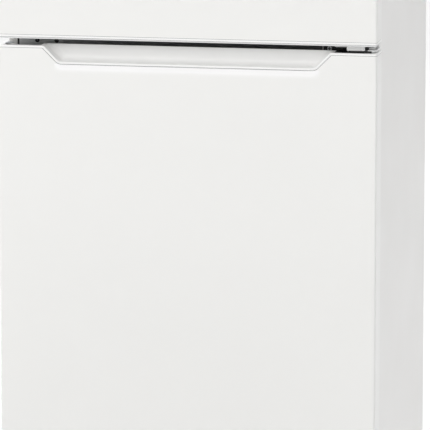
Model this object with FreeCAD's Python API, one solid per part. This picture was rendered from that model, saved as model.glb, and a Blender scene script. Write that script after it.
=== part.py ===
"""Top freezer refrigerator: a steel-wrapped foamed cabinet with two right-hinged doors.

Millimetres. +X is right and +Y is back, seen from the front, and +Z is up. The origin is on
the floor, at the middle of the footprint. The freezer door is above, the fridge door below.
A frost-free evaporator and its fan sit behind a cover in the freezer. The compressor sits in
a compartment at the bottom of the back, and a wire-on-tube condenser hangs on the back panel.
"""

import FreeCAD
import Part

import math
import os

from FreeCAD import Vector

# ---------------------------------------------------------------- driving dimensions
WIDTH = 540.0
DEPTH = 570.0
HEIGHT = 1440.0

HALF = WIDTH / 2
Y_FRONT = -DEPTH / 2
Y_REAR = DEPTH / 2

CABINET_INSET = 5.0
CABINET_HALF = HALF - CABINET_INSET

DOOR_THICK = 45.0
GASKET_GAP = 7.0
CABINET_DEPTH = 495.0
SHEET = 0.8

Y_DOOR_BACK = Y_FRONT + DOOR_THICK
Y_CABINET = Y_DOOR_BACK + GASKET_GAP
Y_WRAP_REAR = Y_CABINET + CABINET_DEPTH
Y_BACK_PANEL = Y_WRAP_REAR - 8.0

Z_BASE = 26.0
Z_TOP = 1418.0
FRIDGE_DOOR = (46.0, 996.0)
FREEZER_DOOR = (1008.0, 1414.0)

# insulated walls and the two compartments inside them
LINER = 2.0
FRIDGE_HALF = 225.0
FRIDGE_Z = (75.0, 970.0)
FREEZER_HALF = 212.0
FREEZER_Z = (1034.0, 1358.0)
Y_LINER_BACK = 200.0
LINER_RADIUS = 12.0
HUMP_Y = 60.0
HUMP_Z = 285.0
FLANGE = 13.0
REAR_FLANGE = 12.0
WRAP_BEND = 5.0
RAIL_END_GAP = 1.2

# machine compartment
PAN = 1.2
Y_RISER = 100.0
Z_CEILING = 240.0

# hinge line shared by both doors
PIN_X = 258.0
PIN_Y = -262.0
PIN_R = 4.0
BUSH_CLEARANCE = 0.08
COLLAR_R = 7.0
COLLAR_GAP = 0.3
RUNNING_FIT = 0.06
BOSS_R = 9.0
BOSS_DEPTH = 20.0
HINGE_PLATE = 3.0
Z_MID_PLATE = 997.0
Z_BOTTOM_PLATE = 38.0

# door parts
SKIN_RADIUS = 3.0
CAP = 3.0
CAP_PLUG = 4.5
SKIN_RETURN = 8.0
SEAM = 0.5
RING_WALL = 2.5
RING_CREST_Y = -205.0
RING_WIDTH = 25.0
RING_INSET = 10.0
PANEL_Y = -236.0
GASKET_OUT = 260.0
GASKET_WIDE = 14.0
GASKET_INSET = 8.0
GASKET_REAR = Y_CABINET - 0.5
DOOR_RIM = 1.5
Y_RIM = Y_DOOR_BACK - SHEET - DOOR_RIM

# grip pocket along the fridge door's top edge; the lip's outline is a trapezoid with 45 degree ends
GRIP_HALF = 209.0
GRIP_HEIGHT = 25.5
GRIP_DEPTH = 24.0
GRIP_LIP = 3.5
GRIP_CORNER = 12.5
GRIP_FLANGE = 4.0
GRIP_FLANGE_THICK = 1.5
TOP_LIP = 4.0
TOP_SINK = 5.0

# finger groove in the freezer door's underside
GROOVE_HALF = 184.0
GROOVE_Y = (-279.0, -261.0)
GROOVE_DEEP = 13.0
GROOVE_WALL = 2.0

# shelves
RIB_LEVELS = (287.0, 370.0, 455.0, 540.0, 625.0, 710.0, 795.0, 880.0)
SHELF_LEVELS = (455.0, 625.0, 795.0)
CRISPER_COVER_Z = 287.0
GLASS = 4.0
SHELF_Y = (-112.0, 180.0)
FREEZER_SHELF_Z = 1190.0

# running gear
FOOT_X = 225.0
FOOT_Y = -205.0
STUD_R = 5.0
ROLLER_X = 240.0
ROLLER_Y = 225.0
ROLLER_R = 12.0
AXLE_R = 3.0

# compressor, centred over its plate
COMPRESSOR_X = 40.0
COMPRESSOR_Y = 182.0
COMPRESSOR_HALF_X = 80.0
COMPRESSOR_HALF_Y = 70.0
COMPRESSOR_Z = (47.0, 205.0)
MOUNT_DX = 90.0
MOUNT_DY = 47.0
MOUNT_BOLT_R = 4.0

# fan behind the freezer cover
FAN_Z = 1270.0
COVER_Y = 118.0
FAN_Y = 139.0
FAN_SHAFT_R = 2.0

X_AXIS = Vector(1, 0, 0)
Y_AXIS = Vector(0, 1, 0)
Z_AXIS = Vector(0, 0, 1)


# ---------------------------------------------------------------- helpers
def both(half):
    """The span from -half to half."""
    return (-half, half)


def box(xs, ys, zs):
    """An axis-aligned block from three (low, high) spans."""
    return Part.makeBox(xs[1] - xs[0], ys[1] - ys[0], zs[1] - zs[0], Vector(xs[0], ys[0], zs[0]))


def grown(span, by):
    """A span with both ends moved outwards."""
    return (span[0] - by, span[1] + by)


def rod(base, length, radius, axis=Z_AXIS):
    """A cylinder that starts at base and runs along axis."""
    return Part.makeCylinder(radius, length, Vector(*base), axis)


def fuse(first, *others):
    """One solid from several that touch or overlap."""
    return first.multiFuse(list(others)).removeSplitter()


def cut(body, *tools):
    """Body with every tool taken away."""
    return body.cut(list(tools))


def edges(shape, along, *places):
    """The straight edges along an axis with their middle at one of the places; None matches all."""
    found = []
    for edge in shape.Edges:
        if not isinstance(edge.Curve, (Part.Line, Part.LineSegment)):
            continue
        direction = edge.tangentAt(edge.FirstParameter)
        if abs(abs(direction.dot(along)) - 1) > 1e-6:
            continue
        middle = edge.CenterOfMass
        for place in places:
            if all(want is None or abs(have - want) < 0.01 for have, want in zip(middle, place)):
                found.append(edge)
                break
    return found


def on_level(edge, z):
    """Whether an edge lies in the level plane at z."""
    return abs(edge.BoundBox.ZMin - z) < 0.01 and abs(edge.BoundBox.ZMax - z) < 0.01


def rounded(shape, radius, along, *places):
    """Shape with the edges picked by edges() rounded."""
    return shape.makeFillet(radius, edges(shape, along, *places))


def prism(points, offset, length):
    """A solid from (x, z) points in the plane y = offset, pushed back along Y."""
    corners = [Vector(x, offset, z) for x, z in points]
    wire = Part.makePolygon(corners + corners[:1])
    return Part.Face(wire).extrude(Vector(0, length, 0))


def tube(points, radius, bend):
    """A round bar along straight runs joined by tangent arcs of one bend radius."""
    points = [Vector(*p) for p in points]
    path = []
    here = points[0]
    for before, corner, after in zip(points, points[1:], points[2:]):
        back = (before - corner).normalize()
        ahead = (after - corner).normalize()
        half_angle = back.getAngle(ahead) / 2
        reach = bend / math.tan(half_angle)
        start = corner + back * reach
        end = corner + ahead * reach
        towards = (back + ahead).normalize()
        middle = corner + towards * (bend / math.sin(half_angle) - bend)
        if (start - here).Length > 1e-6:
            path.append(Part.LineSegment(here, start).toShape())
        path.append(Part.Arc(start, middle, end).toShape())
        here = end
    path.append(Part.LineSegment(here, points[-1]).toShape())
    wire = Part.Wire(path)
    section = Part.Wire(Part.makeCircle(radius, points[0], points[1] - points[0]))
    return wire.makePipeShell([section], True, True)


def open_tray(xs, ys, zs, wall, radius):
    """A thin-walled tray, open at the top, with rounded upright corners and bottom edges."""
    def block(x, y, z, r):
        corners = [(a, b, None) for a in x for b in y]
        body = rounded(box(x, y, z), r, Z_AXIS, *corners)
        return body.makeFillet(r * 0.98, [e for e in body.Edges if e.BoundBox.ZMax < z[0] + 0.01])
    outer = block(xs, ys, zs, radius)
    inner = block(grown(xs, -wall), grown(ys, -wall), (zs[0] + wall, zs[1] + 5), radius - wall)
    return cut(outer, inner)


# ---------------------------------------------------------------- cabinet
def outer_wrap():
    """One bent sheet: both sides and the top, with flanges turned in at the front and the back."""
    def envelope(inset, drop):
        body = box(
            both(CABINET_HALF - inset),
            (Y_CABINET + inset, Y_WRAP_REAR - inset),
            (Z_BASE - drop, Z_TOP - inset),
        )
        x = CABINET_HALF - inset
        return rounded(body, WRAP_BEND - inset, Y_AXIS, (x, None, Z_TOP - inset), (-x, None, Z_TOP - inset))
    window = CABINET_HALF - FLANGE
    front = box(both(window), (Y_CABINET - 1, Y_CABINET + 2), (Z_BASE - 1, Z_TOP - FLANGE))
    rear_window = CABINET_HALF - REAR_FLANGE
    rear = box(both(rear_window), (Y_WRAP_REAR - 2, Y_WRAP_REAR + 1), (Z_BASE - 1, Z_TOP - REAR_FLANGE))
    return cut(envelope(0, 0), envelope(SHEET, 1), front, rear, *top_screw_holes())


def back_panel():
    """Sheet behind the foam, with four upright stiffening beads."""
    half = CABINET_HALF - SHEET
    sheet = box(both(half), (Y_BACK_PANEL, Y_BACK_PANEL + SHEET), (Z_CEILING + PAN, Z_TOP - 6.0))
    beads = []
    for x in (-195.0, -65.0, 65.0, 195.0):
        bead = box((x - 9, x + 9), (Y_BACK_PANEL, Y_BACK_PANEL + 3.0), (290.0, 1370.0))
        face = Y_BACK_PANEL + 3.0
        beads.append(rounded(bead, 2.0, Z_AXIS, (x - 9, face, None), (x + 9, face, None)))
    return fuse(sheet, *beads)


def foot_boss(side):
    """Bush that hangs from the pan and guides a foot's stud."""
    return rod((side * FOOT_X, FOOT_Y, 14.0), Z_BASE - 14.0, 12.0)


def base_pan():
    """Floor, riser and ceiling of the machine compartment, with a front lip and two foot bushes."""
    half = CABINET_HALF - SHEET
    lip = box(both(CABINET_HALF - FLANGE), (Y_CABINET, Y_CABINET + PAN), (Z_BASE, 48.0))
    floor = box(both(half), (Y_CABINET + PAN, Y_RISER), (Z_BASE, Z_BASE + PAN))
    riser = box(both(half), (Y_RISER - PAN, Y_RISER), (Z_BASE, Z_CEILING + PAN))
    ceiling = box(both(half), (Y_RISER - PAN, Y_BACK_PANEL + SHEET), (Z_CEILING, Z_CEILING + PAN))
    body = fuse(lip, floor, riser, ceiling, foot_boss(-1), foot_boss(1))
    studs = [rod((s * FOOT_X, FOOT_Y, 0), 40.0, STUD_R + BUSH_CLEARANCE) for s in (-1, 1)]
    return cut(body, *studs, drain_line(), *bottom_screw_holes())


def drain_line(radius=7.0):
    """The drain tube's own outline, from the freezer's floor through the back wall to the drip tray."""
    path = [(100, 190, FREEZER_Z[0]), (100, 190, 1004), (100, 228, 1004), (100, 228, 226)]
    return tube(path, radius, 15.0)


def air_passage():
    """Slot that lets cold air fall from the evaporator into the fridge's duct."""
    return box(both(60.0), (188.0, 196.0), (FRIDGE_Z[1] - 1, FREEZER_Z[0] + 1))


def cabinet_foam():
    """Rigid foam in the walls, one block per panel."""
    front = Y_CABINET + LINER
    side = CABINET_HALF - SHEET
    fridge = FRIDGE_HALF + LINER
    freezer = FREEZER_HALF + LINER
    back = (Y_LINER_BACK + LINER, Y_BACK_PANEL)
    split = FREEZER_Z[0] - LINER
    pan_top = Z_BASE + PAN
    ceiling = Z_CEILING + PAN
    riser = Y_RISER - PAN
    hump = HUMP_Z - LINER
    blocks = []
    for s in (-1, 1):
        wall = tuple(sorted((s * fridge, s * side)))
        thick_wall = tuple(sorted((s * freezer, s * side)))
        blocks.append(box(wall, (front, Y_BACK_PANEL), (ceiling, split)))
        blocks.append(box(wall, (front, riser), (pan_top, ceiling)))
        upper = box(thick_wall, (front, Y_BACK_PANEL), (split, Z_TOP - SHEET))
        blocks.append(rounded(upper, WRAP_BEND, Y_AXIS, (s * side, None, Z_TOP - SHEET)))
    rail = (FRIDGE_Z[1] + LINER + PAN, split - PAN)
    blocks.append(box(both(fridge), (Y_CABINET + PAN, Y_BACK_PANEL), rail))
    blocks.append(box(both(freezer), (front, Y_BACK_PANEL), (FREEZER_Z[1] + LINER, Z_TOP - SHEET)))
    blocks.append(box(both(fridge), back, (hump, FRIDGE_Z[1] + LINER)))
    blocks.append(box(both(freezer), back, (split, FREEZER_Z[1] + LINER)))
    blocks.append(box(both(fridge), (HUMP_Y + LINER, Y_BACK_PANEL), (ceiling, hump)))
    blocks.append(box(both(fridge), (HUMP_Y + LINER, riser), (FRIDGE_Z[0] - LINER, ceiling)))
    blocks.append(box(both(fridge), (front, riser), (pan_top, FRIDGE_Z[0] - LINER)))
    wells = [rod((s * FOOT_X, FOOT_Y, 20.0), 22.0, 6.0) for s in (-1, 1)]
    return Part.makeCompound([cut(b, drain_line(), air_passage(), *wells) for b in blocks])


def ribs(half, levels, ys):
    """Pairs of shelf runners standing in from the side walls."""
    bars = []
    for z in levels:
        for s in (-1, 1):
            xs = tuple(sorted((s * (half - 8.0), s * (half + 1.0))))
            bar = box(xs, ys, (z - 8.0, z))
            bars.append(rounded(bar, 3.0, Z_AXIS, (s * (half - 8.0), ys[0], None)))
    return bars


def fridge_liner():
    """Thermoformed fridge tub: five walls, the hump over the compressor, runners, front flange."""
    top = FRIDGE_Z[1]
    outer = box(both(FRIDGE_HALF + LINER), (Y_CABINET, Y_LINER_BACK + LINER), grown(FRIDGE_Z, LINER))
    outer = cut(outer, box(both(HALF), (HUMP_Y + LINER, 300), (0, HUMP_Z - LINER)))
    cavity = box(both(FRIDGE_HALF), (Y_CABINET - 1, Y_LINER_BACK), FRIDGE_Z)
    cavity = cut(cavity, box(both(HALF), (HUMP_Y, 300), (0, HUMP_Z)))
    cavity = rounded(
        cavity, LINER_RADIUS, Y_AXIS,
        (FRIDGE_HALF, None, FRIDGE_Z[0]), (-FRIDGE_HALF, None, FRIDGE_Z[0]),
        (FRIDGE_HALF, None, top), (-FRIDGE_HALF, None, top),
    )
    cavity = rounded(cavity, LINER_RADIUS, X_AXIS, (None, HUMP_Y, FRIDGE_Z[0]), (None, HUMP_Y, HUMP_Z))
    flange_z = (48.0, top + LINER)
    flange = box(both(CABINET_HALF - FLANGE), (Y_CABINET, Y_CABINET + LINER), flange_z)
    tub = fuse(outer, flange)
    tub = cut(tub, cavity, air_passage())
    short = ribs(FRIDGE_HALF, RIB_LEVELS[:1], (-100.0, HUMP_Y + 1.0))
    return fuse(tub, *short, *ribs(FRIDGE_HALF, RIB_LEVELS[1:], (-100.0, 190.0)))


def freezer_liner():
    """Thermoformed freezer tub with one pair of runners and a front flange."""
    low, high = FREEZER_Z
    outer = box(both(FREEZER_HALF + LINER), (Y_CABINET, Y_LINER_BACK + LINER), grown(FREEZER_Z, LINER))
    cavity = box(both(FREEZER_HALF), (Y_CABINET - 1, Y_LINER_BACK), FREEZER_Z)
    corners = [(s * FREEZER_HALF, None, z) for s in (-1, 1) for z in (low, high)]
    cavity = rounded(cavity, LINER_RADIUS, Y_AXIS, *corners)
    flange_z = (low - LINER, Z_TOP - FLANGE)
    flange = box(both(CABINET_HALF - FLANGE), (Y_CABINET, Y_CABINET + LINER), flange_z)
    tub = cut(fuse(outer, flange), cavity, drain_line(), air_passage())
    return fuse(tub, *ribs(FREEZER_HALF, [FREEZER_SHELF_Z], (-140.0, 108.0)))


def mid_rail():
    """Steel cross rail between the compartments, a channel with short returns."""
    zs = (FRIDGE_Z[1] + LINER, FREEZER_Z[0] - LINER)
    reach = CABINET_HALF - FLANGE - RAIL_END_GAP
    plate = box(both(reach), (Y_CABINET, Y_CABINET + PAN), zs)
    inside = FRIDGE_HALF + LINER
    lower = box(both(inside), (Y_CABINET, Y_CABINET + 28), (zs[0], zs[0] + PAN))
    upper = box(both(inside), (Y_CABINET, Y_CABINET + 28), (zs[1] - PAN, zs[1]))
    return cut(fuse(plate, lower, upper), *mid_screw_holes())


# ---------------------------------------------------------------- hinges and fasteners
TOP_SCREWS = ((200.0, -215.0), (200.0, -165.0), (246.0, -165.0))
MID_SCREWS = ((196.0, 995.5), (232.0, 1007.0))
BOTTOM_SCREWS = ((192.0, 33.5), (240.0, 32.0))
SCREW_R = 2.5
SCREW_HEAD_R = 4.5
Y_LEG = Y_CABINET - 2.5


def top_screw_holes():
    return [rod((x, y, Z_TOP - 5), 12.0, SCREW_R) for x, y in TOP_SCREWS]


def mid_screw_holes():
    return [rod((x, Y_LEG - 1, z), 6.0, SCREW_R, Y_AXIS) for x, z in MID_SCREWS]


def bottom_screw_holes():
    return [rod((x, Y_LEG - 1, z), 6.0, SCREW_R, Y_AXIS) for x, z in BOTTOM_SCREWS]


def hinge_tongue(xs, z):
    """The flat tongue that carries a pin, rounded at its front corners."""
    ys = (PIN_Y - 14.0, Y_CABINET)
    tongue = box(xs, ys, (z, z + HINGE_PLATE))
    return rounded(tongue, 8.0, Z_AXIS, (xs[0], ys[0], None), (xs[1], ys[0], None))


def top_hinge_bracket():
    """Plate screwed to the cabinet's top, with a pin that points down into the freezer door."""
    xs = (188.0, 264.0)
    ys = (PIN_Y - 14.0, -150.0)
    plate = box(xs, ys, (Z_TOP, Z_TOP + HINGE_PLATE))
    plate = rounded(plate, 8.0, Z_AXIS, *[(x, y, None) for x in xs for y in ys])
    pin = rod((PIN_X, PIN_Y, Z_TOP - 22.0), 24.0, PIN_R)
    return cut(fuse(plate, pin), *top_screw_holes())


def top_hinge_cover():
    """Moulded cap over the top hinge."""
    xs, ys, zs = (180.0, CABINET_HALF + 3.5), (Y_FRONT, -140.0), (Z_TOP, HEIGHT)
    shell = box(xs, ys, zs)
    shell = rounded(shell, 12.0, Z_AXIS, *[(x, y, None) for x in xs for y in ys])
    shell = shell.makeFillet(6.0, [e for e in shell.Edges if e.BoundBox.ZMin > HEIGHT - 0.01])
    inner_xs, inner_ys = grown(xs, -2.0), grown(ys, -2.0)
    inner = box(inner_xs, inner_ys, (Z_TOP - 1, HEIGHT - 2.0))
    inner = rounded(inner, 10.0, Z_AXIS, *[(x, y, None) for x in inner_xs for y in inner_ys])
    inner = inner.makeFillet(5.0, [e for e in inner.Edges if e.BoundBox.ZMin > HEIGHT - 2.01])
    return cut(shell, inner)


def mid_hinge_bracket():
    """Leg on the cross rail, and a notched tongue between the doors with a pin each way."""
    leg = box((186.0, 262.0), (Y_LEG, Y_CABINET), (988.8, 1013.5))
    tongue = hinge_tongue((226.0, 268.0), Z_MID_PLATE)
    front = PIN_Y - 14.0
    top = Z_MID_PLATE + HINGE_PLATE
    notch = box((251.5, 255.5), (front - 1, front + 8.5), (Z_MID_PLATE - 1, top + 1))
    tab = box((248.5, 251.5), (front + 0.5, front + 8.5), (Z_MID_PLATE + 1, top + 4.0))
    pins = rod((PIN_X, PIN_Y, Z_MID_PLATE - 19.5), 42.0, PIN_R)
    return cut(fuse(leg, tongue, pins, tab), notch, *mid_screw_holes())


def bottom_hinge_bracket():
    """Leg screwed to the pan's lip and a tongue under the fridge door, with a pin that points up."""
    leg = box((180.0, 254.0), (Y_LEG, Y_CABINET), (Z_BASE + 0.5, Z_BOTTOM_PLATE + HINGE_PLATE))
    tongue = hinge_tongue((215.0, 267.0), Z_BOTTOM_PLATE)
    pin = rod((PIN_X, PIN_Y, Z_BOTTOM_PLATE), 22.0, PIN_R)
    return cut(fuse(leg, tongue, pin), *bottom_screw_holes())


def pan_head(base, axis, shank, head_r=SCREW_HEAD_R, head=2.6):
    """A cross-slot screw whose head stands along axis from base and whose shank runs the other way."""
    start = Vector(*base)
    body = Part.makeCylinder(SCREW_R, shank + head / 2, start - axis * shank, axis)
    dome = Part.makeCylinder(head_r, head, start, axis)
    rim = [e for e in dome.Edges if (e.CenterOfMass - start).dot(axis) > head - 0.01]
    dome = dome.makeFillet(1.0, rim)
    slot = Part.makeBox(head_r, 1.2, 1.2, Vector(-head_r / 2, -0.6, 0))
    cross = slot.fuse(slot.rotated(Vector(0, 0, 0), Z_AXIS, 90))
    cross.Placement = FreeCAD.Placement(start + axis * (head - 1.2), FreeCAD.Rotation(Z_AXIS, axis))
    return body.fuse(dome).cut(cross).removeSplitter()


def compressor_mounts():
    """Where the compressor's four feet stand."""
    return [
        (COMPRESSOR_X + sx * MOUNT_DX, COMPRESSOR_Y + sy * MOUNT_DY)
        for sx in (-1, 1) for sy in (-1, 1)
    ]


def screws_and_pins():
    """Hinge screws, compressor bolts and the two roller axles, each its own solid."""
    made = []
    for x, y in TOP_SCREWS:
        made.append(pan_head((x, y, Z_TOP + HINGE_PLATE), Z_AXIS, HINGE_PLATE + SHEET))
    for x, z in MID_SCREWS:
        made.append(pan_head((x, Y_LEG, z), -Y_AXIS, Y_CABINET - Y_LEG + PAN, head_r=6.0))
    for x, z in BOTTOM_SCREWS:
        made.append(pan_head((x, Y_LEG, z), -Y_AXIS, Y_CABINET - Y_LEG + PAN))
    for x, y in compressor_mounts():
        bolt = rod((x, y, 28.0), 29.0, MOUNT_BOLT_R)
        made.append(fuse(bolt, rod((x, y, 53.0), 4.0, 7.0)))
    for s in (-1, 1):
        made.append(rod((s * ROLLER_X - 13.0, ROLLER_Y, ROLLER_R), 26.0, AXLE_R, X_AXIS))
    return Part.makeCompound(made)


# ---------------------------------------------------------------- doors
def door_outline(zs, inset=0.0):
    """A door-sized block with rounded front corners, inset all round in X and at the front."""
    half = HALF - inset
    front = Y_FRONT + inset
    block = box(both(half), (front, Y_DOOR_BACK), zs)
    return rounded(block, SKIN_RADIUS - inset, Z_AXIS, (half, front, None), (-half, front, None))


def grip_prism(z_top, grow, depth):
    """The grip lip's trapezoid, grown outwards, from the door's face back to the given depth."""
    bottom = z_top - GRIP_HEIGHT - grow
    over = 5.0
    low = GRIP_HALF - GRIP_HEIGHT + grow * math.tan(math.radians(22.5))
    high = GRIP_HALF + over + grow * math.sqrt(2)
    outline = [(-high, z_top + over), (-low, bottom), (low, bottom), (high, z_top + over)]
    shape = prism(outline, Y_FRONT, depth)
    return rounded(shape, GRIP_CORNER + grow, Y_AXIS, (-low, None, bottom), (low, None, bottom))


def door_skin(zs, pocket=None):
    """Bent steel front: face, both sides and the returns at the back, open at the top and bottom."""
    span = grown(zs, -CAP - SEAM)
    inside = door_outline(grown(span, 1), SHEET)
    back = Y_DOOR_BACK - SHEET
    inside = inside.common(box(both(HALF), (Y_FRONT, back), grown(span, 1)))
    opening = box(both(HALF - SKIN_RETURN), (back - 1, Y_DOOR_BACK + 1), grown(span, 1))
    skin = cut(door_outline(span), inside, opening)
    return cut(skin, pocket) if pocket else skin


def hinge_boss(z, inward):
    """Boss under a cap that takes a hinge pin; inward is -1 where it hangs down from the cap."""
    low = z if inward > 0 else z - BOSS_DEPTH
    return rod((PIN_X, PIN_Y, low), BOSS_DEPTH, BOSS_R)


def hinge_bore():
    """The pin's bore along the whole hinge line."""
    return rod((PIN_X, PIN_Y, 0), HEIGHT, PIN_R + BUSH_CLEARANCE)


def collar(z_low, z_high):
    """Thrust collar between a cap and a hinge tongue."""
    return rod((PIN_X, PIN_Y, z_low), z_high - z_low, COLLAR_R)


def cap_plate(z_face, inward):
    """The plate that closes a door's end, with a plug that fits inside the skin behind the seam."""
    z_inner = z_face + inward * CAP
    plate = door_outline(sorted((z_face, z_inner)))
    edge = [e for e in plate.Edges if on_level(e, z_face)]
    plate = plate.makeFillet(0.8, edge)
    plug_zs = sorted((z_inner, z_inner + inward * CAP_PLUG))
    plug = door_outline(plug_zs, SHEET)
    returns = cut(
        box(both(HALF), (Y_DOOR_BACK - SHEET, Y_DOOR_BACK), plug_zs),
        box(both(HALF - SKIN_RETURN), (Y_DOOR_BACK - SHEET, Y_DOOR_BACK), plug_zs),
    )
    return fuse(plate, cut(plug, returns))


def end_cap(z_face, inward, collar_to):
    """A door end cap: plate, hinge boss and thrust collar. inward is +1 for a bottom cap."""
    ring = collar(*sorted((z_face, collar_to)))
    return fuse(cap_plate(z_face, inward), hinge_boss(z_face, inward), ring)


def freezer_door_bottom_cap():
    """Bottom cap with a finger groove in its underside."""
    z = FREEZER_DOOR[0]
    cap = end_cap(z, 1, Z_MID_PLATE + HINGE_PLATE + COLLAR_GAP)
    top = z + GROOVE_DEEP
    groove = box(both(GROOVE_HALF), GROOVE_Y, (z - 1, top))
    groove = rounded(groove, 4.0, X_AXIS, *[(None, y, top) for y in GROOVE_Y])
    return cut(fuse(cap, groove_housing()), groove, hinge_bore())


def groove_housing():
    """Outer form of the finger groove in the freezer door's bottom cap."""
    z = FREEZER_DOOR[0]
    half = GROOVE_HALF + GROOVE_WALL
    return box(both(half), grown(GROOVE_Y, GROOVE_WALL), (z, z + GROOVE_DEEP + GROOVE_WALL))


def freezer_door_top_cap():
    return cut(end_cap(FREEZER_DOOR[1], -1, Z_TOP - COLLAR_GAP), hinge_bore())


def fridge_door_bottom_cap():
    return cut(end_cap(FRIDGE_DOOR[0], 1, Z_BOTTOM_PLATE + HINGE_PLATE + COLLAR_GAP), hinge_bore())


def grip_shell():
    """Outer form of the grip pocket."""
    z = FRIDGE_DOOR[1]
    body = grip_prism(z, 0.0, GRIP_DEPTH + GRIP_LIP)
    return body.common(box(both(HALF), (Y_FRONT, Y_DOOR_BACK), (0, z)))


def grip_flange():
    """Flange that lies behind the skin round the mouth of the grip pocket."""
    z = FRIDGE_DOOR[1]
    front = Y_FRONT + SHEET
    slab = box(both(HALF), (front, front + GRIP_FLANGE_THICK), (0, z - CAP))
    return cut(grip_prism(z, GRIP_FLANGE, GRIP_DEPTH).common(slab), grip_prism(z, -0.5, GRIP_DEPTH))


def fridge_door_top_cap():
    """Top cap with a floor sunk behind its lip, which also forms the grip pocket."""
    z = FRIDGE_DOOR[1]
    floor = z - TOP_SINK
    sunk = box(both(HALF - SKIN_RETURN), (Y_FRONT + TOP_LIP, Y_DOOR_BACK + 1), (floor, z + 1))
    way = grip_prism(z, GRIP_FLANGE - 1, SHEET + GRIP_FLANGE_THICK)
    way = way.common(box(both(HALF), (Y_FRONT, Y_DOOR_BACK), (0, z - CAP)))
    cap = cut(cap_plate(z, -1), sunk, way)
    ring = collar(floor, Z_MID_PLATE - COLLAR_GAP)
    cap = fuse(cap, hinge_boss(z, -1), ring)
    hollow = grip_prism(z, -GRIP_LIP, GRIP_DEPTH)
    back = Y_FRONT + GRIP_DEPTH
    cove = [e for e in hollow.Edges if abs(e.BoundBox.YMin - back) < 0.01 and e.BoundBox.ZMin < z - 5]
    hollow = hollow.makeFillet(8.0, cove)
    body = cut(fuse(cap, grip_shell()), hollow, hinge_bore())
    lip = [
        e for e in body.Edges
        if abs(e.BoundBox.YMax - Y_FRONT) < 0.01 and e.BoundBox.ZMax < z - CAP + 0.1
        and e.BoundBox.ZMin > z - GRIP_HEIGHT + 0.01 and not on_level(e, z - CAP)
    ]
    return fuse(body.makeFillet(1.5, lip), grip_flange())


def door_ring(half, zs, inset):
    """The raised frame on a door's inner face, inset all over by the liner's wall."""
    outer_z = grown(zs, -RING_INSET - inset)
    outer = box(both(half - inset), (Y_DOOR_BACK - 4, RING_CREST_Y - inset), outer_z)
    pocket_half = half - RING_WIDTH + inset
    pocket_z = grown(zs, -RING_INSET - RING_WIDTH + inset)
    return outer, box(both(pocket_half), (PANEL_Y - inset, 0), pocket_z)


def door_liner(half, zs, door, lugs):
    """Thermoformed inner face: flat rim for the gasket, raised frame, recessed panel and bin lugs."""
    rim = box(both(HALF - SHEET), (Y_RIM, Y_DOOR_BACK - SHEET), grown(door, -CAP - CAP_PLUG))
    outer, pocket = door_ring(half, zs, 0.0)
    outer = outer.common(box(both(HALF), (Y_RIM, 0), (0, HEIGHT)))
    frame = cut(outer, pocket)
    crest = [
        e for e in frame.Edges
        if abs(e.BoundBox.YMin - RING_CREST_Y) < 0.01 and abs(e.BoundBox.YMax - RING_CREST_Y) < 0.01
    ]
    frame = frame.makeFillet(5.0, crest)
    hollow_outer, hollow_pocket = door_ring(half, zs, RING_WALL)
    hollow = cut(hollow_outer, hollow_pocket)
    body = cut(fuse(rim, frame), hollow)
    inner = half - RING_WIDTH
    pegs = []
    for z in lugs:
        for s in (-1, 1):
            xs = tuple(sorted((s * (inner - 8.0), s * (inner + 0.5))))
            pegs.append(box(xs, (-232.0, -210.0), (z - 10.0, z)))
    return fuse(body, *pegs) if pegs else body


def door_foam(half, zs, door, *fixtures):
    """Foam core of a door, cut back from the parts that reach into it."""
    core = door_outline(grown(door, -CAP - CAP_PLUG), SHEET)
    core = core.common(box(both(HALF), (Y_FRONT, Y_RIM), (0, HEIGHT)))
    outer, pocket = door_ring(half, zs, RING_WALL)
    frame = cut(outer, pocket).common(box(both(HALF), (Y_RIM, 0), (0, HEIGHT)))
    return cut(fuse(core, frame), *fixtures)


def gasket(door):
    """Magnetic seal: a closed rectangular ring behind the door's rim."""
    zs = grown(door, -GASKET_INSET)
    ys = (Y_DOOR_BACK - SHEET, GASKET_REAR)
    outer = box(both(GASKET_OUT), ys, zs)
    return cut(outer, box(both(GASKET_OUT - GASKET_WIDE), grown(ys, 1), grown(zs, -GASKET_WIDE)))


FRIDGE_RING = 215.0
FREEZER_RING = 200.0
FRIDGE_BINS = ((124.0, 112.0), (398.0, 86.0), (648.0, 86.0))
FREEZER_BINS = ((1082.0, 80.0), (1218.0, 80.0))


def door_bin(ring, y_back, z, height):
    """A moulded door bin that drops between the raised frame's sides and stands on its lugs."""
    half = ring - RING_WIDTH - 0.6
    return open_tray(both(half), (PANEL_Y + 2.0, y_back), (z, z + height), 2.4, 9.0)


# ---------------------------------------------------------------- machine compartment
def compressor_plate():
    """Cross plate under the compressor, with ears for the two rear rollers."""
    half = CABINET_HALF - SHEET
    plate = box(both(half), (126.0, 246.0), (Z_BASE + 2.0, Z_BASE + 4.0))
    flange = box(both(half), (244.0, 246.0), (Z_BASE + 2.0, Z_BASE + 14.0))
    ears = []
    for s in (-1, 1):
        for dx in (-11.0, 11.0):
            x = s * ROLLER_X + dx
            ears.append(box((x - 1, x + 1), (ROLLER_Y - 9, ROLLER_Y + 9), (4.0, Z_BASE + 2.0)))
    bores = [rod((s * ROLLER_X - 20, ROLLER_Y, ROLLER_R), 40.0, AXLE_R, X_AXIS) for s in (-1, 1)]
    bolts = [rod((x, y, 20), 20.0, MOUNT_BOLT_R) for x, y in compressor_mounts()]
    return cut(fuse(plate, flange, *ears), *bores, *bolts)


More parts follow.
